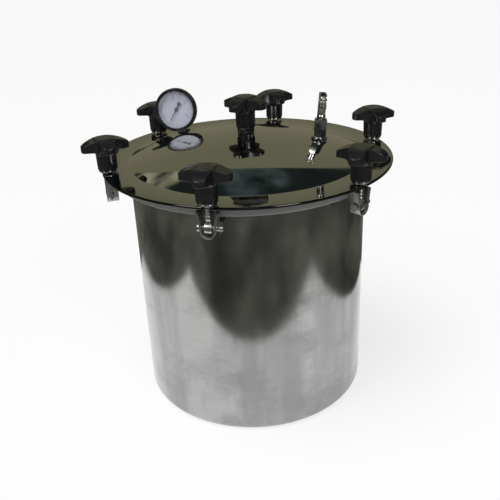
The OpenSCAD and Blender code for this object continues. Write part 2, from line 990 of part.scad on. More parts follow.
// The basket: a perforated cup with a flat rim and two ears for the bail
basket_r = body_r - wall_t - basket_play;
basket_z = wall_t + stand_h + seat_gap;
basket_top_z = basket_z + basket_h;
bail_r = basket_r + wire_r;
bail_z = basket_top_z + wire_r + seat_gap;
ear_t = wire_r;
ear_x = bail_r + wire_r + seat_gap;
ear_r = wire_r + wire_r;
basket_rim_t = wire_r / 2;
module basket() {
    color([0.76, 0.77, 0.77])
        difference() {
            union() {
                difference() {
                    translate([0, 0, basket_z])
                        rotate_extrude()
                            cup_outline(basket_r, basket_h, corner_r);
                    translate([0, 0, basket_z + basket_t])
                        rotate_extrude()
                            cup_outline(basket_r - basket_t, basket_h, corner_r - basket_t);
                    wall_holes();
                }
                translate([0, 0, basket_top_z - basket_rim_t])
                    ring(ear_x + ear_t, basket_r - basket_t, basket_rim_t);
                for (a = [0, 180])
                    rotate([0, 0, a])
                        basket_ear();
            }
            floor_holes(stand_r * 3 / 4, basket_z, basket_t);
            translate([0, 0, bail_z])
                rotate([0, 90, 0])
                    cylinder(r = wire_r + run_gap, h = (ear_x + ear_t + over) * 2, center = true);
        }
}

module basket_ear() {
    translate([ear_x, 0, bail_z])
        rotate([0, 90, 0])
            cylinder(r = ear_r, h = ear_t);
    translate([ear_x, -ear_r, basket_top_z - basket_rim_t])
        cube([ear_t, ear_r + ear_r, bail_z - basket_top_z + basket_rim_t]);
}

// Rows of round holes, each rod cutting two opposite ones
module wall_holes() {
    row_step = (basket_h - corner_r * 3) / hole_rows;
    for (i = [1:hole_rows])
        for (k = [1:hole_count / 2])
            rotate([0, 0, (k - i / 2) * 360 / hole_count])
                translate([0, 0, basket_z + corner_r * 2 + (i - 0.5) * row_step])
                    rotate([0, 90, 0])
                        cylinder(r = hole_r, h = basket_r * 2 + over, center = true);
}

// A half round of wire that lies on the rim, with an end in each ear
module basket_bail() {
    color([0.74, 0.75, 0.75])
        translate([0, 0, bail_z]) {
            rotate_extrude(angle = 180)
                translate([bail_r, 0])
                    circle(wire_r);
            for (a = [0, 180])
                rotate([0, 0, a]) {
                    translate([bail_r, 0, 0])
                        sphere(wire_r);
                    translate([bail_r, 0, 0])
                        rotate([0, 90, 0])
                            cylinder(r = wire_r, h = ear_x + ear_t + wire_r - bail_r);
                }
        }
}

vessel_shell();
rim_ring();
lid_gasket();
clamp_brackets();
hinge_pins();
split_pins();
support_stand();
basket();
basket_bail();
lid_shell();
label_plate();
handle_knob();
handle_insert();
handle_stud();
handle_nut();
handle_lock_nut();
gauge_case();
gauge_bezel();
gauge_glass();
gauge_dial();
gauge_socket();
bourdon_tube();
gauge_movement();
gauge_pointer();
gauge_lock_nut();
valve_ring();
valve_base();
valve_barrel();
valve_stem();
valve_lever();
valve_pin();
valve_lock_nut();
swing_bolt(1);  // swing_bolt_1
swing_bolt(2);  // swing_bolt_2
swing_bolt(3);  // swing_bolt_3
swing_bolt(4);  // swing_bolt_4
swing_bolt(5);  // swing_bolt_5
swing_bolt(6);  // swing_bolt_6
clamp_washer(1);  // clamp_washer_1
clamp_washer(2);  // clamp_washer_2
clamp_washer(3);  // clamp_washer_3
clamp_washer(4);  // clamp_washer_4
clamp_washer(5);  // clamp_washer_5
clamp_washer(6);  // clamp_washer_6
clamp_insert(1);  // clamp_insert_1
clamp_insert(2);  // clamp_insert_2
clamp_insert(3);  // clamp_insert_3
clamp_insert(4);  // clamp_insert_4
clamp_insert(5);  // clamp_insert_5
clamp_insert(6);  // clamp_insert_6
clamp_knob(1);  // clamp_knob_1
clamp_knob(2);  // clamp_knob_2
clamp_knob(3);  // clamp_knob_3
clamp_knob(4);  // clamp_knob_4
clamp_knob(5);  // clamp_knob_5
clamp_knob(6);  // clamp_knob_6
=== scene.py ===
"""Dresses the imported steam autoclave: its steel, bakelite, gauge, valve and basket.

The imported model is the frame, and each piece sits where the frame says. Meshes are built in
millimetres and scaled to metres at the end. Finishes and the studio are in metres.
"""

import json
import logging
import math
from dataclasses import dataclass
from enum import Enum
from typing import Any, Iterable, Sequence

import bmesh
import bpy
from mathutils import Matrix, Vector


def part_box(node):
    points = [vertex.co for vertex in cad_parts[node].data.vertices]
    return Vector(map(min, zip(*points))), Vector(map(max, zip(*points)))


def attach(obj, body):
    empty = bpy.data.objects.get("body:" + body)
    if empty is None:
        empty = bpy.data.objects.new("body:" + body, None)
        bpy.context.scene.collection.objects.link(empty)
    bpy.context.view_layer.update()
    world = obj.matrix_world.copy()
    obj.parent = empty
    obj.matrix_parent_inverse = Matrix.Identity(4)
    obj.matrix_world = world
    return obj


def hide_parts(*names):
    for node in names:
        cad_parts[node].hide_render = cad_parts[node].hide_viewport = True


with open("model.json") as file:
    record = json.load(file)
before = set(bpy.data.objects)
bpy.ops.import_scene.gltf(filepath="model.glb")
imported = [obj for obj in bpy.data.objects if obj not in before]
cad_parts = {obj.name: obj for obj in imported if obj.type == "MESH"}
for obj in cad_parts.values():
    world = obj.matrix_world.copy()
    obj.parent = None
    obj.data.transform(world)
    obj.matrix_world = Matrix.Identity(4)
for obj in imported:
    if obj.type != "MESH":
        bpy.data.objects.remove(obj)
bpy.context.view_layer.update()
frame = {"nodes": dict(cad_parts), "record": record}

LOG = logging.getLogger("autoclave")
MM = 0.001
FINE = 256  # segments round a turning as wide as the pot
BEHIND = 0.02  # a hair's gap between faces that would lie on each other
Point = tuple[float, float]
Colour = tuple[float, float, float]
# An outline stood upright, with its depth along X or along -Y
DEPTH_ON_X = Matrix(((0, 0, 1), (1, 0, 0), (0, 1, 0))).to_4x4()
DEPTH_ON_Y = Matrix(((1, 0, 0), (0, 0, -1), (0, 1, 0))).to_4x4()


class Slot(Enum):
    """The record's material slots, by which the imported nodes are given their finishes."""

    CLOUDY_STEEL = "cloudy_steel"
    MIRROR_STEEL = "mirror_steel"
    SATIN_STEEL = "satin_steel"
    CHROME = "chrome_plate"
    BAKELITE = "black_bakelite"
    RUBBER = "black_rubber"
    ENAMEL = "black_enamel"
    DIAL = "dial_white"
    GLASS = "gauge_glass"
    BRASS = "brass"
    LABEL = "label_grey"


def add_node(tree: bpy.types.NodeTree, kind: str, settings: dict[str, Any],
             values: dict[Any, Any]) -> bpy.types.Node:
    """Adds a node to a tree.

    Args:
        tree: the tree.
        kind: the node's type.
        settings: the node's own settings, set first.
        values: a value or an output socket for each input, by name or index.

    Returns:
        The node.
    """
    node = tree.nodes.new(kind)
    for name, value in settings.items():
        setattr(node, name, value)
    for name, value in values.items():
        if isinstance(value, bpy.types.NodeSocket):
            tree.links.new(value, node.inputs[name])
        else:
            node.inputs[name].default_value = value
    return node


class Wire:
    """A shader socket that can stand in sums and products."""

    def __init__(self, shader: "Shader", socket: bpy.types.NodeSocket) -> None:
        """Keeps the socket and the shader that it belongs to."""
        self.shader = shader
        self.socket = socket

    def _math(self, operation: str, first: Any, second: Any) -> "Wire":
        """Adds a Math node over two values.

        Args:
            operation: the Math node's operation.
            first: a number or a Wire.
            second: a number or a Wire.

        Returns:
            The node's value.
        """
        return self.shader.node("ShaderNodeMath", {"operation": operation}, {0: first, 1: second})

    def __add__(self, other: Any) -> "Wire":
        """This value plus another."""
        return self._math("ADD", self, other)

    def __radd__(self, other: Any) -> "Wire":
        """Another value plus this."""
        return self._math("ADD", other, self)

    def __sub__(self, other: Any) -> "Wire":
        """This value less another."""
        return self._math("SUBTRACT", self, other)

    def __rsub__(self, other: Any) -> "Wire":
        """Another value less this."""
        return self._math("SUBTRACT", other, self)

    def __mul__(self, other: Any) -> "Wire":
        """This value times another."""
        return self._math("MULTIPLY", self, other)

    def __rmul__(self, other: Any) -> "Wire":
        """Another value times this."""
        return self._math("MULTIPLY", other, self)

    def clamped(self) -> "Wire":
        """This value, held between nothing and one."""
        return self.shader.node("ShaderNodeClamp", {}, {"Value": self}, "Result")

    def between(self, low: float, high: float) -> "Wire":
        """Rises smoothly from nothing at the first value to one at the second.

        Args:
            low: the value that becomes nothing.
            high: the value that becomes one.

        Returns:
            The mapped value.
        """
        values = {"Value": self, "From Min": low, "From Max": high}
        return self.shader.node("ShaderNodeMapRange", {"interpolation_type": "SMOOTHSTEP"}, values, "Result")


class Shader:
    """A material or world under construction, built node by node."""

    def __init__(self, tree: bpy.types.NodeTree) -> None:
        """Empties the tree, so that only what is built here is in it."""
        self.tree = tree
        tree.nodes.clear()

    @classmethod
    def material(cls, name: str) -> "tuple[Shader, bpy.types.Material]":
        """Makes an empty material.

        Args:
            name: the material's name.

        Returns:
            The shader and its material.
        """
        material = bpy.data.materials.new(name)
        material.use_nodes = True
        return cls(material.node_tree), material

    def node(self, kind: str, settings: dict[str, Any], values: dict[Any, Any],
             output: Any = 0) -> "Wire | None":
        """Adds any node.

        Args:
            kind: the node's type.
            settings: the node's own settings.
            values: a number, colour or Wire for each input socket, by name or index.
            output: the output socket's name or index.

        Returns:
            The output, as a Wire, where the node has one.
        """
        plain = {name: value.socket if isinstance(value, Wire) else value for name, value in values.items()}
        node = add_node(self.tree, kind, settings, plain)
        return Wire(self, node.outputs[output]) if len(node.outputs) else None

    def place(self) -> Wire:
        """The point on the object, in metres."""
        return self.node("ShaderNodeTexCoord", {}, {}, "Object")

    def axis(self, vector: Wire, name: str) -> Wire:
        """One part of a vector, by the name X, Y or Z."""
        return self.node("ShaderNodeSeparateXYZ", {}, {0: vector}, name)

    def noise(self, at: Wire, scale: float, detail: float = 4.0, roughness: float = 0.55,
              stretch: tuple[float, float, float] = (1.0, 1.0, 1.0)) -> Wire:
        """Noise over a point, from nothing to one.

        Args:
            at: the point.
            scale: how many bumps there are in a metre.
            detail: the octaves of noise.
            roughness: how strong the finer octaves are.
            stretch: the scale along each axis.

        Returns:
            The noise value.
        """
        spot = self.node("ShaderNodeMapping", {}, {"Vector": at, "Scale": stretch})
        values = {"Vector": spot, "Scale": scale, "Detail": detail, "Roughness": roughness}
        return self.node("ShaderNodeTexNoise", {}, values, 0)

    def blend(self, factor: Any, first: Any, second: Any) -> Wire:
        """Mixes two colours.

        Args:
            factor: nothing for the first, one for the second.
            first: a colour or a Wire.
            second: a colour or a Wire.

        Returns:
            The mixed colour.
        """
        values = {"Factor": factor, 6: _rgba(first), 7: _rgba(second)}
        return self.node("ShaderNodeMix", {"data_type": "RGBA"}, values, 2)

    def bump(self, height: Wire, strength: float, depth: float, under: Any = None) -> Wire:
        """A bumped normal.

        Args:
            height: the height, from nothing to one.
            strength: how much of the bump shows.
            depth: the height in metres of one unit.
            under: a normal that the bump lies on.

        Returns:
            The normal.
        """
        values = {"Height": height, "Strength": strength, "Distance": depth}
        if under is not None:
            values["Normal"] = under
        return self.node("ShaderNodeBump", {}, values)

    def surface(self, values: dict[str, Any]) -> None:
        """Ends the tree in a Principled shader with these values."""
        shade = self.node("ShaderNodeBsdfPrincipled", {}, values)
        self.node("ShaderNodeOutputMaterial", {}, {"Surface": shade})


def _rgba(colour: Any) -> Any:
    """A colour with its alpha, or the Wire itself."""
    return colour if isinstance(colour, Wire) else (*colour, 1.0)


@dataclass(frozen=True)
class Steel:
    """Stainless steel, from mirror polish to cloudy buffing.

    Attributes:
        name: the material's name.
        colour: the clean metal.
        rough: the roughness of the cleanest spots.
        haze: how much rougher the hazy spots are.
        wave: depth in metres of the slow ripples in the sheet.
        grain: depth in metres of the fine polishing lines.
        stain: how far dark stains take the colour down.
        turned: whether the polishing lines run round the axis instead of up.
        streak: how far upright streaks take the colour down.
        metal: the share of bare metal.
        shade: painted shade, the height in metres below which the colour is dimmed to a dark band.
    """

    name: str
    colour: Colour
    rough: float
    haze: float
    wave: float = 0.0
    grain: float = 0.0
    stain: float = 0.0
    turned: bool = True
    streak: float = 0.0
    metal: float = 1.0
    shade: float = 0.0

    def material(self) -> bpy.types.Material:
        """Builds the finish.

        Returns:
            The material.
        """
        shader, material = Shader.material(self.name)
        at = shader.place()
        cloud = shader.noise(at, 11.0, 6.0, 0.62, (1.0, 1.0, 1.7))
        smear = shader.noise(at, 38.0, 5.0, 0.6, (1.0, 1.0, 0.35))
        lines = (1.0, 1.0, 45.0) if self.turned else (40.0, 40.0, 1.0)
        fine = shader.noise(at, 30.0, 3.0, 0.7, lines)
        haze = (cloud.between(0.42, 0.68) * 0.7 + smear.between(0.5, 0.72) * 0.3).clamped()
        dark = tuple(c * (1.0 - self.stain) for c in self.colour)
        speck = shader.noise(at, 420.0, 2.0, 0.5).between(0.66, 0.74)
        colour = shader.blend((haze + speck * 0.35).clamped(), self.colour, dark)
        if self.streak:
            upright = shader.noise(at, 16.0, 4.0, 0.5, (1.0, 1.0, 0.12)).between(0.42, 0.6)
            faint = tuple(c * (1.0 - self.streak) for c in self.colour)
            colour = shader.blend(upright * 0.8, colour, faint)
        # Painted shade: below this height the colour drops to an eighth of itself, a dark band painted along
        # the lid's lower edge
        if self.shade:
            low = shader.axis(at, "Z").between(self.shade + 0.0004, self.shade - 0.0004)
            colour = shader.blend(low, colour, tuple(c * 0.12 for c in self.colour))
        values = {
            "Base Color": colour,
            "Metallic": self.metal,
            "Roughness": (haze * self.haze + fine * (self.haze * 0.4) + self.rough).clamped(),
        }
        normal = None
        if self.wave:
            slow = shader.noise(at, 9.0, 2.0, 0.45, (1.0, 1.0, 0.8))
            normal = shader.bump(slow, 1.0, self.wave)
        if self.grain:
            normal = shader.bump(fine + smear * 0.5, 1.0, self.grain, normal)
        if normal is not None:
            values["Normal"] = normal
        shader.surface(values)
        return material


@dataclass(frozen=True)
class Bakelite:
    """Moulded black bakelite: a hard gloss with faint mottling and handling marks."""

    name: str = "bakelite"

    def material(self) -> bpy.types.Material:
        """Builds the finish.

        Returns:
            The material.
        """
        shader, material = Shader.material(self.name)
        at = shader.place()
        mottle = shader.noise(at, 160.0, 4.0)
        wear = shader.noise(at, 55.0, 5.0, 0.65).between(0.52, 0.74)
        scratch = shader.noise(at, 260.0, 3.0, 0.6, (1.0, 5.0, 1.0)).between(0.6, 0.7)
        shader.surface({
            "Base Color": shader.blend(mottle, (0.004, 0.005, 0.005), (0.012, 0.013, 0.013)),
            "Roughness": (wear * 0.16 + scratch * 0.08 + 0.2).clamped(),
            "IOR": 1.62,
            "Normal": shader.bump(mottle + wear * 0.5, 0.35, 0.00008),
        })
        return material


@dataclass(frozen=True)
class Rubber:
    """Matt black rubber with a dusty bloom."""

    name: str = "rubber"

    def material(self) -> bpy.types.Material:
        """Builds the finish.

        Returns:
            The material.
        """
        shader, material = Shader.material(self.name)
        at = shader.place()
        bloom = shader.noise(at, 70.0, 5.0, 0.6).between(0.45, 0.75)
        grit = shader.noise(at, 900.0, 2.0)
        shader.surface({
            "Base Color": shader.blend(bloom, (0.008, 0.008, 0.008), (0.03, 0.03, 0.028)),
            "Roughness": (bloom * 0.2 + 0.55).clamped(),
            "Normal": shader.bump(grit, 0.4, 0.0001),
        })
        return material


@dataclass(frozen=True)
class Enamel:
    """A stoved paint: an even colour with faint orange peel and dust.

    Attributes:
        name: the material's name.
        colour: the paint.
        rough: its roughness.
    """

    name: str
    colour: Colour
    rough: float = 0.22

    def material(self) -> bpy.types.Material:
        """Builds the finish.

        Returns:
            The material.
        """
        shader, material = Shader.material(self.name)
        at = shader.place()
        peel = shader.noise(at, 700.0, 2.0)
        dust = shader.noise(at, 90.0, 5.0, 0.65).between(0.5, 0.8)
        dusty = tuple(c * 0.86 + 0.02 for c in self.colour)
        shader.surface({
            "Base Color": shader.blend(dust, self.colour, dusty),
            "Roughness": (dust * 0.2 + self.rough).clamped(),
            "Normal": shader.bump(peel, 0.25, 0.00006),
        })
        return material


@dataclass(frozen=True)
class Brass:
    """Turned brass, a little tarnished."""

    name: str = "turned_brass"

    def material(self) -> bpy.types.Material:
        """Builds the finish.

        Returns:
            The material.
        """
        shader, material = Shader.material(self.name)
        at = shader.place()
        tarnish = shader.noise(at, 130.0, 5.0, 0.6).between(0.4, 0.7)
        tool = shader.noise(at, 60.0, 2.0, 0.5, (1.0, 1.0, 30.0))
        shader.surface({
            "Base Color": shader.blend(tarnish, (0.72, 0.52, 0.22), (0.36, 0.24, 0.1)),
            "Metallic": 1.0,
            "Roughness": (tarnish * 0.25 + tool * 0.1 + 0.2).clamped(),
            "Normal": shader.bump(tool, 0.5, 0.00004),
        })
        return material


@dataclass(frozen=True)
class Glass:
    """Thin clear glass, seen as a gloss over what lies behind it."""

    name: str = "clear_glass"

    def material(self) -> bpy.types.Material:
        """Builds the finish.

        Returns:
            The material.
        """
        shader, material = Shader.material(self.name)
        at = shader.place()
        smudge = shader.noise(at, 80.0, 4.0, 0.6).between(0.5, 0.75)
        shader.surface({
            "Base Color": (0.92, 0.95, 0.97, 1.0),
            "Roughness": (smudge * 0.08 + 0.02).clamped(),
            "Alpha": (smudge * 0.04 + 0.06).clamped(),
        })
        return material


class Finishes:
    """Every finish, each built once."""

    def __init__(self) -> None:
        """Builds the materials."""
        self.vessel = Steel("cloudy_steel", (0.45, 0.455, 0.445), 0.085, 0.13, wave=0.0011, grain=0.00002,
                            stain=0.42, streak=0.35).material()
        # The lid's steel carries a painted shade below 322.7 mm, a dark band along the flange's lower edge
        self.lid = Steel("mirror_steel", (0.66, 0.66, 0.62), 0.035, 0.05, wave=0.0002, stain=0.06,
                         shade=0.3227).material()
        self.rim = Steel("rim_steel", (0.26, 0.265, 0.26), 0.42, 0.14, grain=0.00002, stain=0.2,
                         metal=0.3).material()
        self.satin = Steel("satin_steel", (0.6, 0.6, 0.59), 0.24, 0.2, grain=0.00003, stain=0.3,
                           turned=False).material()
        self.chrome = Steel("bright_chrome", (0.7, 0.7, 0.68), 0.07, 0.1, stain=0.1).material()
        self.bakelite = Bakelite().material()
        self.rubber = Rubber().material()
        self.enamel = Enamel("black_enamel", (0.012, 0.012, 0.014)).material()
        self.dial = Enamel("dial_enamel", (0.52, 0.54, 0.66), 0.4).material()
        self.ink = Enamel("dial_ink", (0.015, 0.015, 0.03), 0.5).material()
        self.plate = Enamel("label_enamel", (0.012, 0.014, 0.012), 0.45).material()
        self.brass = Brass().material()
        self.glass = Glass().material()


class Frame:
    """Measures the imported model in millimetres."""

    @staticmethod
    def span(node: str) -> tuple[Vector, Vector]:
        """A node's lowest and highest corners."""
        low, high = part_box(node)
        return low / MM, high / MM

    @staticmethod
    def centre(node: str) -> Vector:
        """The middle of a node's box."""
        low, high = Frame.span(node)
        return (low + high) / 2

    @staticmethod
    def reach(node: str, place: Matrix) -> tuple[Vector, Vector]:
        """Measures a node in the axes of a place.

        Args:
            node: the node's name.
            place: the place.

        Returns:
            The node's lowest and highest corners there.
        """
        back = place.inverted()
        spots = [back @ (v.co / MM) for v in frame["nodes"][node].data.vertices]
        return (Vector([min(p[i] for p in spots) for i in range(3)]),
                Vector([max(p[i] for p in spots) for i in range(3)]))

    @staticmethod
    def arms(node: str) -> float:
        """Finds which way a four-armed node lies, seen from above.

        Args:
            node: the node's name.

        Returns:
            The angle of one arm from X, in degrees.
        """
        centre = Frame.centre(node)
        spots = [v.co / MM - centre for v in frame["nodes"][node].data.vertices]
        far = max(p.xy.length for p in spots) * 0.9
        turns = [4 * math.atan2(p.y, p.x) for p in spots if p.xy.length > far]
        return math.degrees(math.atan2(sum(map(math.sin, turns)), sum(map(math.cos, turns)))) / 4


def turned(x: float, y: float, z: float, about_z: float = 0.0, tilt: float = 0.0) -> Matrix:
    """Makes a place.

    Args:
        x: its place along X, in millimetres.
        y: its place along Y.
        z: its place along Z.
        about_z: its turn about Z, in degrees.
        tilt: its tilt about X before that turn, in degrees.

    Returns:
        The place's matrix.
    """
    spin = Matrix.Rotation(math.radians(about_z), 4, "Z")
    lean = Matrix.Rotation(math.radians(tilt), 4, "X")
    return Matrix.Translation((x, y, z)) @ spin @ lean


def rounded(corners: Iterable[tuple[float, float, float]], steps: int = 6) -> list[Point]:
    """Rounds the corners of a closed outline.

    Args:
        corners: each corner's two places and its radius.
        steps: how many segments each round corner has.

    Returns:
        The outline's points.
    """
    corners = list(corners)
    points: list[Point] = []
    for i, (x, y, radius) in enumerate(corners):
        here = Vector((x, y))
        if radius <= 0:
            points.append((x, y))
            continue
        back = (Vector(corners[i - 1][:2]) - here).normalized()
        ahead = (Vector(corners[(i + 1) % len(corners)][:2]) - here).normalized()
        half = back.angle(ahead) / 2
        middle = here + (back + ahead).normalized() * (radius / math.sin(half))
        first = here + back * (radius / math.tan(half)) - middle
        last = here + ahead * (radius / math.tan(half)) - middle
        sweep = first.angle_signed(last)
        for k in range(steps + 1):
            turn = Matrix.Rotation(-sweep * k / steps, 2)
            points.append(tuple(middle + turn @ first))
    return points


@dataclass(frozen=True)
class Dome:
    """The round top of the lid.

    Attributes:
        foot: radius of its edge.
        base: height of the flange that it stands on.
        apex: height of its top.
    """

    foot: float
    base: float
    apex: float

    @classmethod
    def measured(cls, edge: float = 1.5) -> "Dome":
        """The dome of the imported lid, whose edge lies this far outside the vessel's wall."""
        return cls(Frame.span("vessel_shell")[1].x + edge, Frame.span("label_plate")[0].z,
                   Frame.span("lid_shell")[1].z)

    @property
    def cap(self) -> float:
        """Radius of the sphere that the dome is part of."""
        rise = self.apex - self.base
        return (self.foot ** 2 + rise ** 2) / (2 * rise)

    def height(self, distance: float, sheet: float = 0.0) -> float:
        """Height of the outer face at a distance from the axis, or of one a sheet below it."""
        return self.apex - self.cap + math.sqrt((self.cap - sheet) ** 2 - distance ** 2)

    def spot(self, distance: float, direction: float, lean: float | None = None) -> Matrix:
        """A place on the dome, with Z out of it.

        Args:
            distance: from the axis.
            direction: from X, in degrees.
            lean: the outward lean of Z in degrees, or nothing for the dome's own slope.

        Returns:
            The place.
        """
        tilt = math.asin(distance / self.cap) if lean is None else math.radians(lean)
        return (turned(0, 0, 0, direction) @ Matrix.Translation((distance, 0, self.height(distance)))
                @ Matrix.Rotation(tilt, 4, "Y") @ turned(0, 0, 0, -direction))


@dataclass(frozen=True)
class Fitting:
    """Where a fitting stands on the dome.

    Attributes:
        distance: from the lid's middle.
        direction: from X, in degrees.
        lean: its outward lean, in degrees.
        turn: its turn about its own axis, in degrees.
    """

    distance: float
    direction: float
    lean: float
    turn: float

    def place(self, height: float = 0.0) -> Matrix:
        """The fitting's place, at a height over the dome."""
        spot = Dome.measured().spot(self.distance, self.direction, self.lean)
        return spot @ turned(0, 0, height, self.turn)


# Where the two fittings stand: the gauge to the left and the release valve to the right
GAUGE_SPOT = Fitting(distance=110.98, direction=154.0, lean=15.0, turn=4.0)
VALVE_SPOT = Fitting(distance=92.0, direction=9.0, lean=5.0, turn=105.0)


class Solid:
    """A mesh under construction, in millimetres."""

    def __init__(self) -> None:
        """Starts empty."""
        self.mesh = bmesh.new()

    def lathe(self, outline: Sequence[Point], segments: int = 128, sweep: float = 360.0) -> "Solid":
        """Turns a closed outline about Z.

        Args:
            outline: the points, each a radius and a height.
            segments: the steps round the axis.
            sweep: how far it turns, in degrees.

        Returns:
            This solid.
        """
        whole = sweep >= 360.0
        count = segments if whole else segments + 1
        angles = [math.radians(sweep * k / segments) for k in range(count)]
        loops: list[list[Any]] = []
        for radius, height in outline:
            if radius < 1e-6:
                loops.append([self.mesh.verts.new((0, 0, height))] * count)
                continue
            loops.append([self.mesh.verts.new((radius * math.cos(a), radius * math.sin(a), height))
                          for a in angles])
        for i, loop in enumerate(loops):
            other = loops[(i + 1) % len(loops)]
            for k in range(segments):
                n = (k + 1) % count
                self._face((loop[k], loop[n], other[n], other[k]))
        if not whole:
            self._face([loop[0] for loop in loops])
            self._face([loop[-1] for loop in reversed(loops)])
        return self

    def _face(self, verts: Sequence[Any]) -> None:
        """Adds a face, unless too few of its corners differ.

        Args:
            verts: its corners, where some can be the same.
        """
        kept = []
        for vert in verts:
            if vert not in kept:
                kept.append(vert)
        if len(kept) > 2:
            self.mesh.faces.new(kept)

    def prism(self, outline: Sequence[Point], low: float, high: float) -> "Solid":
        """Raises an outline in the XY plane from one height to another.

        Args:
            outline: the points.
            low: the lower height.
            high: the upper height.

        Returns:
            This solid.
        """
        floor = [self.mesh.verts.new((x, y, low)) for x, y in outline]
        roof = [self.mesh.verts.new((x, y, high)) for x, y in outline]
        self.mesh.faces.new(list(reversed(floor)))
        self.mesh.faces.new(roof)
        for i in range(len(outline)):
            n = (i + 1) % len(outline)
            self.mesh.faces.new((floor[i], floor[n], roof[n], roof[i]))
        return self

    def bevel(self, width: float, segments: int = 2, over: float = 30.0) -> "Solid":
        """Rounds the edges that are sharper than an angle.

        Args:
            width: the bevel's width.
            segments: its steps.
            over: the least angle between faces, in degrees.

        Returns:
            This solid.
        """
        self.close()
        sharp = [e for e in self.mesh.edges
                 if len(e.link_faces) == 2 and e.calc_face_angle(0.0) > math.radians(over)]
        bmesh.ops.bevel(self.mesh, geom=sharp, offset=width, segments=segments, affect="EDGES",
                        profile=0.5, clamp_overlap=True)
        return self

    def close(self) -> "Solid":
        """Merges doubled points and turns the faces outward.

        Returns:
            This solid.
        """
        bmesh.ops.remove_doubles(self.mesh, verts=self.mesh.verts, dist=1e-4)
        bmesh.ops.recalc_face_normals(self.mesh, faces=self.mesh.faces)
        return self

    def place(self, matrix: Matrix) -> "Solid":
        """Moves the mesh."""
        self.mesh.transform(matrix)
        return self

    def take(self, *others: "Solid") -> "Solid":
        """Adds the meshes of other solids to this one.

        Args:
            others: the other solids.

        Returns:
            This solid.
        """
        for other in others:
            data = bpy.data.meshes.new("taken")
            other.mesh.to_mesh(data)
            self.mesh.from_mesh(data)
            bpy.data.meshes.remove(data)
        return self

    def loose(self, name: str = "scratch") -> bpy.types.Object:
        """Makes a plain object of the mesh, in the scene.

        Args:
            name: the object's name.

        Returns:
            The object.
        """
        data = bpy.data.meshes.new(name)
        self.mesh.to_mesh(data)
        made = bpy.data.objects.new(name, data)
        bpy.context.scene.collection.objects.link(made)
        return made

    def apply(self, made: bpy.types.Object) -> "Solid":
        """Takes the object's evaluated mesh as this solid's, and removes the object.

        Args:
            made: the object.

        Returns:
            This solid.
        """
        shape = made.evaluated_get(bpy.context.evaluated_depsgraph_get())
        data = bpy.data.meshes.new_from_object(shape)
        self.mesh.clear()
        self.mesh.from_mesh(data)
        bpy.data.objects.remove(made)
        bpy.data.meshes.remove(data)
        return self

    def joined(self, operation: str, *others: "Solid") -> "Solid":
        """Cuts, joins or crosses this solid with others.

        Args:
            operation: DIFFERENCE, UNION or INTERSECT.
            others: the other solids.

        Returns:
            This solid.
        """
        made = self.close().loose()
        tools = [other.close().loose("tool") for other in others]
        for tool in tools:
            step = made.modifiers.new("join", "BOOLEAN")
            step.operation = operation
            step.solver = "EXACT"
            step.object = tool
        self.apply(made)
        for tool in tools:
            bpy.data.objects.remove(tool)
        return self

    def melted(self, voxel: float, passes: int) -> "Solid":
        """Fuses overlapping shells and softens what joins them.

        Args:
            voxel: the grain of the new mesh.
            passes: how often it is smoothed.

        Returns:
            This solid.
        """
        made = self.close().loose()
        melt = made.modifiers.new("melt", "REMESH")
        melt.mode = "VOXEL"
        melt.voxel_size = voxel
        self.apply(made)
        for _ in range(passes):
            bmesh.ops.smooth_vert(self.mesh, verts=self.mesh.verts, factor=0.5, use_axis_x=True,
                                  use_axis_y=True, use_axis_z=True)
        return self


def ring(radius: float, steps: int) -> list[Point]:
    """A round outline, or a polygon with few steps, that starts on X."""
    angles = [math.radians(360 * k / steps) for k in range(steps)]
    return [(radius * math.cos(a), radius * math.sin(a)) for a in angles]


@dataclass(frozen=True)
class Piece:
    """How a finished mesh joins the frame.

    Attributes:
        name: the piece's name.
        body: the CAD body that it moves with.
        slot: the record's material slot; not used.
        material: its finish.
        replaced: the CAD nodes that it stands for.
        crease: the angle past which an edge looks sharp, in degrees.
    """

    name: str
    body: str
    slot: Slot
    material: bpy.types.Material
    replaced: tuple[str, ...] = ()
    crease: float = 32.0

    def make(self, solid: Solid) -> bpy.types.Object:
        """Puts the solid into the scene as this piece.

        Args:
            solid: the mesh, in millimetres in its place.

        Returns:
            The object.
        """
        solid.mesh.transform(Matrix.Scale(MM, 4))
        made = solid.loose(self.name)
        solid.mesh.free()
        for face in made.data.polygons:
            face.use_smooth = True
        made.data.set_sharp_from_angle(angle=math.radians(self.crease))
        made.data.materials.clear()
        made.data.materials.append(self.material)
        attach(made, self.body)
        if self.replaced:
            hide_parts(*self.replaced)
        LOG.info("%s: %d faces on %s", self.name, len(made.data.polygons), self.body)
        return made


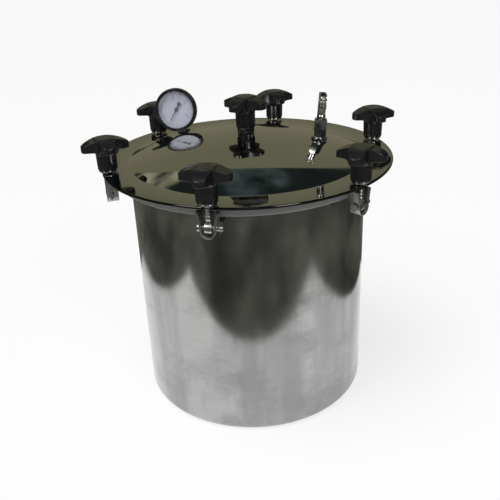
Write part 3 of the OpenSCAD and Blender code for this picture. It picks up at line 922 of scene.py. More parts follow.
class Tree:
    """A Geometry Nodes tree under construction."""

    def __init__(self, name: str, inputs: dict[str, str]) -> None:
        """Starts the tree.

        Args:
            name: its name.
            inputs: each input's name and socket type, after the geometry.
        """
        self.tree = bpy.data.node_groups.new(name, "GeometryNodeTree")
        face = self.tree.interface
        face.new_socket("Geometry", in_out="INPUT", socket_type="NodeSocketGeometry")
        self.keys = {key: face.new_socket(key, in_out="INPUT", socket_type=kind).identifier
                     for key, kind in inputs.items()}
        face.new_socket("Geometry", in_out="OUTPUT", socket_type="NodeSocketGeometry")
        self.source = self.tree.nodes.new("NodeGroupInput")

    def node(self, kind: str, settings: dict[str, Any], values: dict[Any, Any],
             output: Any = 0) -> bpy.types.NodeSocket:
        """Adds a node.

        Args:
            kind: the node's type.
            settings: its own settings.
            values: a value or an output socket for each input.
            output: the output wanted.

        Returns:
            That output socket.
        """
        return add_node(self.tree, kind, settings, values).outputs[output]

    def given(self, name: str) -> bpy.types.NodeSocket:
        """One of the tree's own inputs."""
        return self.source.outputs[name]

    def sum(self, operation: str, first: Any, second: Any) -> bpy.types.NodeSocket:
        """A Math node over two values."""
        return self.node("ShaderNodeMath", {"operation": operation}, {0: first, 1: second})

    def end(self, geometry: bpy.types.NodeSocket) -> None:
        """Closes the tree in real meshes with the given material.

        Args:
            geometry: the geometry that the tree makes.
        """
        real = self.node("GeometryNodeRealizeInstances", {}, {0: geometry})
        joined = self.node("GeometryNodeMergeByDistance", {}, {0: real, "Distance": 0.002})
        dressed = self.node("GeometryNodeSetMaterial", {}, {0: joined, "Material": self.given("Material")})
        self.tree.links.new(dressed, self.tree.nodes.new("NodeGroupOutput").inputs[0])

    def grow(self, seed: Solid, values: dict[str, Any]) -> Solid:
        """Runs the tree on a solid.

        Args:
            seed: the geometry that goes in.
            values: each input's value, by name.

        Returns:
            The seed, with the result as its mesh.
        """
        made = seed.loose()
        step = made.modifiers.new("grow", "NODES")
        step.node_group = self.tree
        for name, value in values.items():
            step[self.keys[name]] = value
        return seed.apply(made)


class Copies:
    """Turns one shape into rows of copies round the Z axis."""

    def __init__(self) -> None:
        """Builds the tree: a point for each copy, with its turn and its height."""
        self.tree = Tree("copies", {
            "Count": "NodeSocketInt", "Rows": "NodeSocketInt", "Start": "NodeSocketFloat",
            "Step": "NodeSocketFloat", "Rise": "NodeSocketFloat", "Material": "NodeSocketMaterial"})
        t = self.tree
        total = t.sum("MULTIPLY", t.given("Count"), t.given("Rows"))
        line = t.node("GeometryNodeMeshLine", {}, {"Count": total, "Offset": (0.0, 0.0, 0.0)})
        index = t.node("GeometryNodeInputIndex", {}, {})
        row = t.sum("FLOOR", t.sum("DIVIDE", t.sum("ADD", index, 0.5), t.given("Count")), 0.0)
        turn = t.sum("ADD", t.sum("MULTIPLY", index, t.given("Step")), t.given("Start"))
        height = t.sum("MULTIPLY", row, t.given("Rise"))
        place = t.node("ShaderNodeCombineXYZ", {}, {"Z": height})
        spots = t.node("GeometryNodeSetPosition", {}, {0: line, "Position": place})
        spin = t.node("ShaderNodeCombineXYZ", {}, {"Z": turn})
        many = t.node("GeometryNodeInstanceOnPoints", {},
                      {"Points": spots, "Instance": t.given("Geometry"), "Rotation": spin})
        t.end(many)

    def make(self, seed: Solid, material: bpy.types.Material, count: int, step: float,
             start: float = 0.0, rows: int = 1, rise: float = 0.0) -> Solid:
        """Copies a solid round the axis.

        Args:
            seed: the shape, in its first place.
            material: its finish.
            count: how many copies a row has.
            step: the turn between copies, in degrees.
            start: the turn of the first copy.
            rows: how many rows there are.
            rise: the height between rows.

        Returns:
            The seed, with all the copies in it.
        """
        return self.tree.grow(seed, {
            "Count": count, "Rows": rows, "Start": math.radians(start), "Step": math.radians(step),
            "Rise": rise, "Material": material})


class Thread:
    """A screw thread: a ridge wound round a shank."""

    def __init__(self) -> None:
        """Builds the tree: a spiral with a small round section."""
        self.tree = Tree("thread", {
            "Radius": "NodeSocketFloat", "Pitch": "NodeSocketFloat", "Length": "NodeSocketFloat",
            "Ridge": "NodeSocketFloat", "Steps": "NodeSocketInt", "Material": "NodeSocketMaterial"})
        t = self.tree
        turns = t.sum("DIVIDE", t.given("Length"), t.given("Pitch"))
        spiral = t.node("GeometryNodeCurveSpiral", {}, {
            "Resolution": t.given("Steps"), "Rotations": turns, "Start Radius": t.given("Radius"),
            "End Radius": t.given("Radius"), "Height": t.given("Length")})
        section = t.node("GeometryNodeCurvePrimitiveCircle", {},
                         {"Resolution": 6, "Radius": t.given("Ridge")})
        ridge = t.node("GeometryNodeCurveToMesh", {},
                       {"Curve": spiral, "Profile Curve": section, "Fill Caps": True})
        t.end(ridge)

    def make(self, radius: float, pitch: float, length: float, material: bpy.types.Material) -> Solid:
        """Winds a ridge up from the XY plane.

        Args:
            radius: the shank's outer radius.
            pitch: the rise of one turn.
            length: the threaded length.
            material: its finish.

        Returns:
            The ridge.
        """
        ridge, steps_per_turn = pitch * 0.36, 20
        return self.tree.grow(Solid(), {
            "Radius": radius - ridge, "Pitch": pitch, "Length": length, "Ridge": ridge,
            "Steps": steps_per_turn, "Material": material})


@dataclass
class Vessel:
    """The pot: its shell, rim ring, gasket and the straps that carry the swing bolts.

    Attributes:
        wall: thickness of the sheet.
        corner: outer radius of the bottom corner.
        edge: radius of the rim ring's edges.
        seal: width of the gasket.
        strap: thickness of the straps.
        bend: outer radius of the straps' bend.
        flare: half of a strap's width at its top.
        drop: from the hinge pin down to the middle of the bend.
        depth: width of a strap, out from the rim.
        play: clearance between a piece and what it is welded to.
    """

    finishes: Finishes
    wall: float = 2.0
    corner: float = 10.0
    edge: float = 1.5
    seal: float = 15.0
    strap: float = 2.5
    bend: float = 9.0
    flare: float = 12.5
    drop: float = 2.5
    depth: float = 14.0
    play: float = 0.1

    def shell(self) -> None:
        """Builds the deep-drawn pot."""
        _, high = Frame.span("vessel_shell")
        radius, top, wall = high.x, high.z, self.wall
        outline = rounded([
            (0, 0, 0), (radius, 0, self.corner), (radius, top, 0.4), (radius - wall, top, 0.4),
            (radius - wall, wall, self.corner - wall), (0, wall, 0)], 10)
        Piece("pot", "root", Slot.CLOUDY_STEEL, self.finishes.vessel, ("vessel_shell",)).make(
            Solid().lathe(outline, FINE).close())

    def rim(self) -> None:
        """Builds the ring round the mouth and the gasket that lies on it."""
        low, high = Frame.span("rim_ring")
        wall = Frame.span("vessel_shell")[1].x + self.play
        outline = rounded([(wall, low.z, 0.2), (high.x, low.z, self.edge),
                           (high.x, high.z, self.edge), (wall, high.z, 0.2)])
        Piece("mouth_ring", "root", Slot.MIRROR_STEEL, self.finishes.rim, ("rim_ring",)).make(
            Solid().lathe(outline, FINE).close())
        low, high = Frame.span("lid_gasket")
        inner = high.x - self.seal
        outline = rounded([(inner, low.z, 0.5), (high.x, low.z, 1.6), (high.x, high.z, 1.6),
                           (inner, high.z, 0.5)])
        Piece("gasket", "root", Slot.RUBBER, self.finishes.rubber, ("lid_gasket",)).make(
            Solid().lathe(outline, FINE).close())

    def strap_outline(self, inset: float, height: float) -> list[Point]:
        """One face of the strap, from its right leg's top round the bend to the left one's.

        Args:
            inset: how far inside the outer face it lies.
            height: the legs' height above the middle of the bend.

        Returns:
            The points.
        """
        radius = self.bend - inset
        arc = [(radius * math.cos(math.pi * k / 16), -radius * math.sin(math.pi * k / 16))
               for k in range(17)]
        wide = self.flare - inset
        return [(wide, height), (radius, self.drop), *arc, (-radius, self.drop), (-wide, height)]

    def straps(self) -> None:
        """Builds the six bent straps under the rim."""
        low, high = Frame.span("clamp_brackets")
        rim = Frame.span("rim_ring")[1].x
        start = math.sqrt(rim ** 2 - (self.flare - self.strap) ** 2) + self.play
        middle = low.z + self.bend
        outline = (self.strap_outline(0.0, high.z - middle)
                   + self.strap_outline(self.strap, high.z - middle)[::-1])
        solid = Solid()
        for k in range(1, 7):
            washer = Frame.centre(f"clamp_washer_{k}")
            angle = math.degrees(math.atan2(washer.y, washer.x))
            part = Solid().prism(outline, 0.0, self.depth).bevel(0.35, 2, 40.0)
            solid.take(part.place(turned(0, 0, middle, angle)
                                  @ Matrix.Translation((start, 0, 0)) @ DEPTH_ON_X))
        Piece("clamp_straps", "root", Slot.SATIN_STEEL, self.finishes.satin,
              ("clamp_brackets",)).make(solid)

    def build(self) -> None:
        """Builds the whole pot."""
        self.shell()
        self.rim()
        self.straps()


@dataclass
class CrossKnob:
    """A bakelite knob: a round shank under a head with four drooping arms.

    Attributes:
        height: the whole height.
        span: the arms' span.
        foot: the shank's radius at its foot.
        neck: the shank's radius under the arms.
        sag: the drop of the arched top at its tips.
        head: thickness of the head in its middle.
        fillet: radius of the fillets under the arms.
        tip: half of an arm's width at its tip.
        middle: half of an arm's width at the knob's middle.
        blunt: length of a tip's rounding.
        bore: radius of the hole for the insert.
        depth: depth of that hole.
        past: how far one shape of the knob runs into or past another.
    """

    height: float = 39.5
    span: float = 58.0
    foot: float = 12.0
    neck: float = 12.5
    sag: float = 8.0
    head: float = 15.0
    fillet: float = 4.0
    tip: float = 5.5
    middle: float = 12.0
    blunt: float = 4.0
    bore: float = 6.5
    depth: float = 26.0
    past: float = 2.0

    def side(self) -> list[Point]:
        """Two arms from their side: an arched top, blunt tips and fillets at the shank.

        Returns:
            The outline, each point a distance along the arms and a height.
        """
        half = self.span / 2
        arch = (half ** 2 + self.sag ** 2) / (2 * self.sag)
        low = self.height - self.head - self.fillet
        top = [(x, self.height - arch + math.sqrt(arch ** 2 - x ** 2))
               for x in (half - self.span * k / 32 for k in range(33))]
        turns = [math.radians(90 * k / 8) for k in range(9)]
        under = [(half, low + self.fillet)]
        under += [(self.neck + self.fillet * (1 - math.sin(t)), low + self.fillet * math.cos(t))
                  for t in turns]
        left = [(-x, z) for x, z in under]
        return top + left + under[::-1]

    def width(self, x: float) -> float:
        """Half of an arm's width at a distance from the shank's axis.

        Args:
            x: the distance, to either side.

        Returns:
            The half width.
        """
        half = self.span / 2
        bulge = self.middle - self.tip
        arc = (half ** 2 + bulge ** 2) / (2 * bulge)
        past = max(0.0, abs(x) - half + self.blunt) / self.blunt
        return (self.middle - arc + math.sqrt(arc ** 2 - x ** 2)) * (1 - min(1.0, past) ** 2.6) ** 0.4

    def plan(self) -> list[Point]:
        """Two arms from above, wider at the middle than at their round tips.

        Returns:
            The outline.
        """
        places = [self.span / 2 * math.cos(math.pi * k / 48) for k in range(49)]
        near = [(x, self.width(x)) for x in places]
        return near + [(x, -y) for x, y in near[-2:0:-1]]

    def pair(self, turn: float) -> Solid:
        """Two arms in one line.

        Args:
            turn: their turn about the shank's axis, in degrees.

        Returns:
            The arms.
        """
        deep = self.neck * 2
        side = Solid().prism(self.side(), -deep, deep).place(DEPTH_ON_Y)
        plan = Solid().prism(self.plan(), 0, self.height + self.past)
        return side.joined("INTERSECT", plan).bevel(1.8, 4, 50.0).place(turned(0, 0, 0, turn))

    def solid(self) -> Solid:
        """Builds the knob on the XY plane, its arms along X and Y.

        Returns:
            The knob.
        """
        under = self.height - self.head
        top = under + self.past
        shank = Solid().lathe(rounded([(0, 0, 0), (self.foot, 0, 1.2), (self.neck, under - self.fillet, 0),
                                       (self.neck, top, 2.0), (0, top, 0)]), 64)
        bore = Solid().lathe([(0, -self.past), (self.bore, -self.past), (self.bore, self.depth),
                              (0, self.depth)], 48)
        knob = shank.take(self.pair(0.0), self.pair(90.0)).melted(0.5, 6)
        return knob.joined("DIFFERENCE", bore)


@dataclass
class Lid:
    """The pressed lid, its blank plate and the lifting handle.

    Attributes:
        sheet: thickness of the dome.
        edge: radius of the flange's edge.
        crease: radius of the fillet where the dome leaves the flange.
        play: side clearance of a bolt in its slot.
        bolt: radius of the swing bolts and the handle's stud.
        port: radius of the gauge's and the valve's ports.
        gap: clearance round a stud or a port.
        past: how far the cutters run past the lid.
    """

    finishes: Finishes
    knob: Solid
    sheet: float = 3.0
    edge: float = 1.5
    crease: float = 5.0
    play: float = 0.7
    bolt: float = 4.0
    port: float = 5.0
    gap: float = 0.1
    past: float = 20.0

    def outline(self) -> list[Point]:
        """The lid's section, from the middle of the dome round the flange and back.

        Returns:
            The outline, each point a radius and a height.
        """
        low, high = Frame.span("lid_shell")
        dome = Dome.measured(self.edge)
        tilt = math.asin(dome.foot / dome.cap)
        reach = self.crease * math.tan(tilt / 2)
        leave = dome.foot - reach * math.cos(tilt)
        outer = [(x, dome.height(x)) for x in (leave * k / 44 for k in range(45))]
        centre = (dome.foot + reach, dome.base + self.crease)
        fillet = [(centre[0] - self.crease * math.sin(tilt * (6 - k) / 6),
                   centre[1] - self.crease * math.cos(tilt * (6 - k) / 6)) for k in range(1, 7)]
        hollow = dome.foot - self.sheet
        brim = rounded([(high.x, dome.base, self.edge), (high.x, low.z, self.edge), (hollow, low.z, 0.3)])
        inner = [(x, dome.height(x, self.sheet)) for x in (hollow * (24 - k) / 24 for k in range(25))]
        return outer + fillet + brim + inner

    def slot(self, washer: Vector) -> Solid:
        """The cutter of the open slot under one washer.

        Args:
            washer: the washer's middle.

        Returns:
            The cutter.
        """
        low, high = Frame.span("lid_shell")
        radius = self.bolt + self.play
        arc = [(-radius * math.sin(math.pi * k / 16), -radius * math.cos(math.pi * k / 16))
               for k in range(17)]
        mouth = high.x - washer.xy.length + self.past
        outline = arc[::-1] + [(0, -radius), (mouth, -radius), (mouth, radius), (0, radius)]
        angle = math.degrees(math.atan2(washer.y, washer.x))
        cutter = Solid().prism(outline, low.z - self.past, low.z + self.past)
        return cutter.place(turned(washer.x, washer.y, 0, angle))

    def shell(self) -> None:
        """Turns the lid and cuts its slots and bores."""
        _, high = Frame.span("lid_shell")
        cutters = [self.slot(Frame.centre(f"clamp_washer_{k}")) for k in range(1, 7)]
        holes = [(turned(0, 0, high.z), self.bolt), (GAUGE_SPOT.place(), self.port),
                 (VALVE_SPOT.place(), self.port)]
        for place, radius in holes:
            wide, end = radius + self.gap, self.past
            rod = [(0, -end), (wide, -end), (wide, end), (0, end)]
            cutters.append(Solid().lathe(rod, 32).place(place))
        solid = Solid().lathe(self.outline(), FINE).joined("DIFFERENCE", *cutters)
        Piece("lid", "lid", Slot.MIRROR_STEEL, self.finishes.lid, ("lid_shell",), 24.0).make(solid)

    def plate(self) -> None:
        """Builds the blank plate on the flange, with softened corners."""
        low, high = Frame.span("label_plate")
        spots = [v.co / MM for v in frame["nodes"]["label_plate"].data.vertices]
        radii = [p.xy.length for p in spots]
        angles = [math.degrees(math.atan2(p.y, p.x)) for p in spots]
        span = max(angles) - min(angles)
        outline = [(min(radii), low.z), (max(radii), low.z), (max(radii), high.z), (min(radii), high.z)]
        solid = Solid().lathe(outline, 24, span).bevel(0.22, 2, 50.0)
        solid.place(turned(0, 0, 0, min(angles)))
        Piece("blank_plate", "lid", Slot.LABEL, self.finishes.plate, ("label_plate",)).make(solid)

    def handle(self) -> None:
        """Builds the lifting handle and the nut that it stands on."""
        low, _ = Frame.span("handle_knob")
        solid = Solid().take(self.knob).place(turned(0, 0, low.z, Frame.arms("handle_knob")))
        Piece("lifting_handle", "lid", Slot.BAKELITE, self.finishes.bakelite,
              ("handle_knob",)).make(solid)
        Piece("handle_hexagon", "lid", Slot.CHROME, self.finishes.chrome, ("handle_nut",)).make(
            hex_nut("handle_nut", self.bolt))

    def build(self) -> None:
        """Builds the lid and what is fixed to its middle."""
        self.shell()
        self.plate()
        self.handle()


def hex_nut(node: str, bore: float) -> Solid:
    """An upright hexagon nut with chamfered corners and a bore, in a node's place.

    Args:
        node: the node that it stands for.
        bore: the bore's radius.

    Returns:
        The nut.
    """
    low, high = Frame.span(node)
    middle = (low + high) / 2
    radius = (high.x - low.x) / 2
    flat = radius * math.cos(math.radians(30))
    slant = (radius - flat) * 0.6
    blank = Solid().prism(ring(radius, 6), low.z, high.z)
    turning = Solid().lathe([(bore, low.z - 1), (flat, low.z), (radius + 0.01, low.z + slant),
                             (radius + 0.01, high.z - slant), (flat, high.z), (bore, high.z + 1)], 64)
    return blank.joined("INTERSECT", turning).place(turned(middle.x, middle.y, 0))


@dataclass
class Gauge:
    """The pressure gauge on the lid.

    Attributes:
        radius: of the case.
        sheet: thickness of the case's wall.
        step: how far the case steps in behind the dial.
        lip: how far the bezel reaches over the glass.
        gap: between the bezel and the dome.
        port: radius of the hole for the socket.
        play: clearance between the case and the bezel.
        zero: the scale's first angle, clockwise from the top.
        sweep: the scale's whole angle.
        numbers: the scale's numbers.
        margin: from the dial's edge in to the scale's arc.
        fine: length and width of a fine mark.
        bold: length and width of a bold mark.
        figure: height of a number.
        figures_in: from the arc in to the middle of a number.
        ink: thickness of the print.
        length: of the pointer, from its pivot.
        tail: from the pivot to the middle of the counterweight.
        blade: half of the pointer's width at its pivot.
        point: half of its width at its tip.
        boss: radius of its boss and its counterweight.
        shaft: radius of its shaft.
    """

    finishes: Finishes
    copies: Copies
    radius: float = 27.0
    sheet: float = 1.5
    step: float = 3.0
    lip: float = 1.5
    gap: float = 2.5
    port: float = 5.1
    play: float = 0.05
    zero: float = 222.0
    sweep: float = 270.0
    numbers: tuple[str, ...] = ("0", "1", "2", "3", "4")
    margin: float = 3.6
    fine: Point = (2.0, 0.22)
    bold: Point = (3.4, 0.5)
    figure: float = 5.0
    figures_in: float = 6.6
    ink: float = 0.06
    length: float = 17.8
    tail: float = 8.5
    blade: float = 1.0
    point: float = 0.22
    boss: float = 2.6
    shaft: float = 1.0

    def __post_init__(self) -> None:
        """Finds the gauge's place: Z comes out of the dial and Y points up it."""
        bezel = self.radius + self.sheet + BEHIND
        self.at = GAUGE_SPOT.place(bezel + self.gap) @ turned(0, 0, 0, 0, 90)

    def case(self) -> None:
        """Turns the case, the bezel and the glass."""
        low, high = Frame.reach("gauge_case", self.at)
        radius, sheet = high.x, self.sheet
        back = radius - self.step
        seat = Frame.reach("gauge_dial", self.at)[0].z - BEHIND
        outline = rounded([(0, low.z, 0), (back, low.z, 3.0), (back, seat - sheet, 0.8),
                           (radius, seat - sheet, 1.2), (radius, high.z, 0.2),
                           (radius - sheet, high.z, 0.2), (radius - sheet, seat, 0.2),
                           (back - sheet, seat, 0.3), (back - sheet, low.z + sheet, 1.6),
                           (0, low.z + sheet, 0)], 8)
        bore = Solid().prism(ring(self.port, 36), -radius, sheet * 3 - back)
        bore.place(turned(0, 0, 0, 0, -90))
        shell = Solid().lathe(outline, 128).joined("DIFFERENCE", bore)
        Piece("gauge_cup", "lid", Slot.ENAMEL, self.finishes.enamel, ("gauge_case",)).make(
            shell.place(self.at))
        low, high = Frame.reach("gauge_bezel", self.at)
        inner, outer = radius - sheet - self.lip, radius + self.play
        glass_low, glass_high = Frame.reach("gauge_glass", self.at)
        seat = glass_high.z + BEHIND
        outline = rounded([(outer, low.z, 0.3), (high.x, low.z, 0.4), (high.x, high.z, 1.5),
                           (inner + 1.2, high.z, 0.5), (inner, seat, 0.3), (outer, seat, 0.0)])
        Piece("gauge_rim", "lid", Slot.ENAMEL, self.finishes.enamel, ("gauge_bezel",)).make(
            Solid().lathe(outline, 128).close().place(self.at))
        edge = radius - self.play * 2
        outline = rounded([(0, glass_low.z, 0), (edge, glass_low.z, 0.2), (edge, glass_high.z, 0.2),
                           (0, glass_high.z, 0)], 3)
        Piece("gauge_window", "lid", Slot.GLASS, self.finishes.glass, ("gauge_glass",)).make(
            Solid().lathe(outline, 96).close().place(self.at))

    def marks(self, reach: float, level: float, size: Point, count: int) -> Solid:
        """Prints a row of marks along the scale.

        Args:
            reach: the radius of their outer ends.
            level: the height of the dial.
            size: the length and width of a mark.
            count: how many spaces there are between them.

        Returns:
            The marks.
        """
        length, half = size[0], size[1] / 2
        seed = Solid().prism([(-half, reach - length), (half, reach - length), (half, reach), (-half, reach)],
                             level, level + self.ink)
        return self.copies.make(seed, self.finishes.ink, count + 1, -self.sweep / count, -self.zero)

    def scale(self) -> None:
        """Prints the scale on the dial: an arc, fine and bold marks, and numbers."""
        _, high = Frame.reach("gauge_dial", self.at)
        level, reach = high.z - BEHIND, high.x - self.margin
        spaces = len(self.numbers) - 1
        fine = self.marks(reach, level, self.fine, spaces * 10)
        bold = self.marks(reach, level, self.bold, spaces * 2)
        wide = reach + self.ink * 5
        arc = Solid().lathe([(reach, level), (wide, level), (wide, level + self.ink),
                             (reach, level + self.ink)], 120, self.sweep)
        arc.place(turned(0, 0, 0, 90 - self.zero - self.sweep))
        printed = fine.take(bold, arc)
        for k, text in enumerate(self.numbers):
            angle = math.radians(90 - self.zero - self.sweep * k / spaces)
            spot = Vector((math.cos(angle), math.sin(angle), 0)) * (reach - self.figures_in)
            printed.take(self.number(text).place(Matrix.Translation((spot.x, spot.y, level))))
        Piece("dial_print", "lid", Slot.ENAMEL, self.finishes.ink).make(printed.place(self.at))

    def number(self, text: str) -> Solid:
        """A flat number, centred on the origin.

        Args:
            text: the number.

        Returns:
            The number as a thin solid.
        """
        curve = bpy.data.curves.new("number", "FONT")
        curve.body = text
        curve.size = self.figure
        curve.extrude = self.ink / 2
        curve.align_x = "CENTER"
        curve.align_y = "CENTER"
        made = bpy.data.objects.new("number", curve)
        bpy.context.scene.collection.objects.link(made)
        bpy.context.view_layer.update()
        return Solid().apply(made)

    def pointer(self) -> None:
        """Shapes the tapered pointer, its counterweight and its boss."""
        top = Frame.reach("gauge_pointer", self.at)[1].z
        dial = Frame.reach("gauge_dial", self.at)[1].z
        base, foot, sheet = dial + 1.5, dial - 3.6, 0.55
        blade, tail, tip = self.blade, self.tail, self.point
        outline = [(-blade, 0), (-blade, -tail), (blade, -tail), (blade, 0), (tip, self.length),
                   (-tip, self.length)]
        flat = Solid().prism(outline, base, base + sheet).bevel(0.1, 1, 40.0)
        over = base + sheet + self.ink / 2
        weight = Solid().lathe(rounded([(0, base, 0), (self.boss, base, 0.15), (self.boss, over, 0.15),
                                        (0, over, 0)]), 32).place(Matrix.Translation((0, -tail, 0)))
        under = base - 0.1
        boss = Solid().lathe(rounded([(0, foot, 0), (self.shaft, foot, 0), (self.shaft, under, 0),
                                      (self.boss, under, 0), (self.boss, top, 0.35), (0, top, 0)]), 32)
        solid = flat.take(weight, boss).close().place(self.at @ turned(0, 0, 0, -self.zero))
        Piece("needle", "pointer", Slot.ENAMEL, self.finishes.ink, ("gauge_pointer",)).make(solid)

    def build(self) -> None:
        """Builds the gauge."""
        self.case()
        self.scale()
        self.pointer()


@dataclass
class Valve:
    """The steam release valve on the lid.

    Attributes:
        bore: radius of the ring's bore.
        port: radius of the port.
        cam: radius of the lever's cams.
        offset: from the lever's pin up to the cams' middle.
        cheek: thickness of the cams.
        arm: thickness of the lever's arm.
        vent: radius of the cross vents and of the seat's bore.
        stem: radius of the barrel's bore.
        chamfer: height of the hexagon's chamfers.
        past: how far the cutters run past the valve.
    """

    finishes: Finishes
    bore: float = 5.1
    port: float = 5.0
    cam: float = 6.5
    offset: float = 1.5
    cheek: float = 2.0
    arm: float = 2.0
    vent: float = 2.0
    stem: float = 2.1
    chamfer: float = 1.3
    past: float = 30.0

    def __post_init__(self) -> None:
        """Finds the valve's place, with X towards the lever's arm."""
        self.at = VALVE_SPOT.place()

    def ring(self) -> None:
        """Turns the ring under the valve and cuts it to the dome's slope."""
        low, high = Frame.reach("valve_ring", self.at)
        radius = high.x
        outline = rounded([(self.bore, low.z - 2, 0), (radius, low.z - 2, 0), (radius, high.z, 1.0),
                           (self.bore, high.z, 0.4)])
        far, seat = self.past, 0.15
        tool = Solid().prism([(-far, -far), (far, -far), (far, far), (-far, far)], -far, seat)
        tool.place(Dome.measured().spot(VALVE_SPOT.distance, VALVE_SPOT.direction))
        collar = Solid().lathe(outline, 96).place(self.at).joined("DIFFERENCE", tool)
        Piece("valve_collar", "lid", Slot.CHROME, self.finishes.chrome, ("valve_ring",)).make(collar)

    def barrel(self) -> None:
        """Turns the barrel: a waist, two grooves and a rounded top."""
        radius, top = Frame.reach("valve_barrel", self.at)[1].xz
        foot = Frame.reach("valve_base", self.at)[1].z + BEHIND
        waist, spigot, crown, bore = radius - 0.7, radius - 0.54, radius - 0.3, self.stem
        low = foot - 1.8
        outline = rounded([(bore, low, 0), (spigot, low, 0), (spigot, foot, 0), (radius, foot, 0.4),
                           (radius, foot + 4.0, 0.5), (waist, foot + 5.2, 0.9), (waist, top - 6.2, 0.9),
                           (crown, top - 5.4, 0.4), (crown, top, 0.9), (bore, top, 0.3)])
        Piece("valve_neck", "lid", Slot.CHROME, self.finishes.chrome, ("valve_barrel",)).make(
            Solid().lathe(outline, 64).close().place(self.at))

    def base(self) -> None:
        """Builds the hexagon with its chamfers, its vents and its port."""
        low, high = Frame.reach("valve_base", self.at)
        hex_low = Frame.reach("valve_ring", self.at)[1].z + BEHIND
        radius = high.x
        blank = Solid().prism(ring(radius, 6), hex_low, high.z)
        flat = radius * math.cos(math.radians(30))
        over, slant = radius + 0.01, self.chamfer
        turning = Solid().lathe([(0, hex_low - 1), (flat, hex_low), (over, hex_low + slant),
                                 (over, high.z - slant), (flat, high.z), (0, high.z + 1)], 64)
        top = hex_low + 1
        port = Solid().lathe([(0, low.z), (self.port, low.z), (self.port, top), (0, top)], 48)
        seat, end = hex_low + 2, self.past
        bore = Solid().lathe([(0, low.z - end), (self.vent, low.z - end), (self.vent, seat),
                              (self.port, seat), (self.port, high.z + end), (0, high.z + end)], 48)
        vent = Solid().lathe([(0, -end), (self.vent, -end), (self.vent, end), (0, end)], 32)
        vent.place(turned(0, 0, (hex_low + high.z) / 2, 0, 90))
        solid = blank.joined("INTERSECT", turning).joined("UNION", port).joined("DIFFERENCE", bore, vent)
        Piece("valve_body", "lid", Slot.CHROME, self.finishes.chrome, ("valve_base",)).make(
            solid.place(self.at))

    def lever(self) -> None:
        """Builds the forked lever: two cams and an arm that hangs beside the barrel."""
        low, high = Frame.reach("valve_lever", self.at)
        pin = sum(Frame.reach("valve_pin", self.at), Vector()).z / 2
        gap = (high.y - low.y) / 2 - self.cheek
        arc = [(self.cam * math.cos(a), self.offset + self.cam * math.sin(a))
               for a in (math.radians(78 + 10 * k) for k in range(27))]
        outline = arc + [(high.x - 0.3, -0.4), (high.x - 0.3, high.z - pin)]
        solid = Solid()
        for outer in (-gap, gap + self.cheek):
            cheek = Solid().prism(outline, 0, self.cheek).bevel(0.3, 2, 40.0).place(DEPTH_ON_Y)
            solid.take(cheek.place(Matrix.Translation((0, outer, 0))))
        wide = high.y
        arm = Solid().prism(rounded([(-wide, low.z - pin, 2.0), (wide, low.z - pin, 2.0),
                                     (wide, high.z - pin, 1.0), (-wide, high.z - pin, 1.0)]), 0, self.arm)
        arm.bevel(0.4, 2, 40.0)
        arm.place(Matrix.Translation((high.x - self.arm, 0, 0)) @ DEPTH_ON_X)
        solid.take(arm).place(self.at @ Matrix.Translation((0, 0, pin)))
        Piece("release_lever", "valve_lever", Slot.CHROME, self.finishes.chrome,
              ("valve_lever",)).make(solid)

    def build(self) -> None:
        """Builds the valve."""
        self.ring()
        self.base()
        self.barrel()
        self.lever()


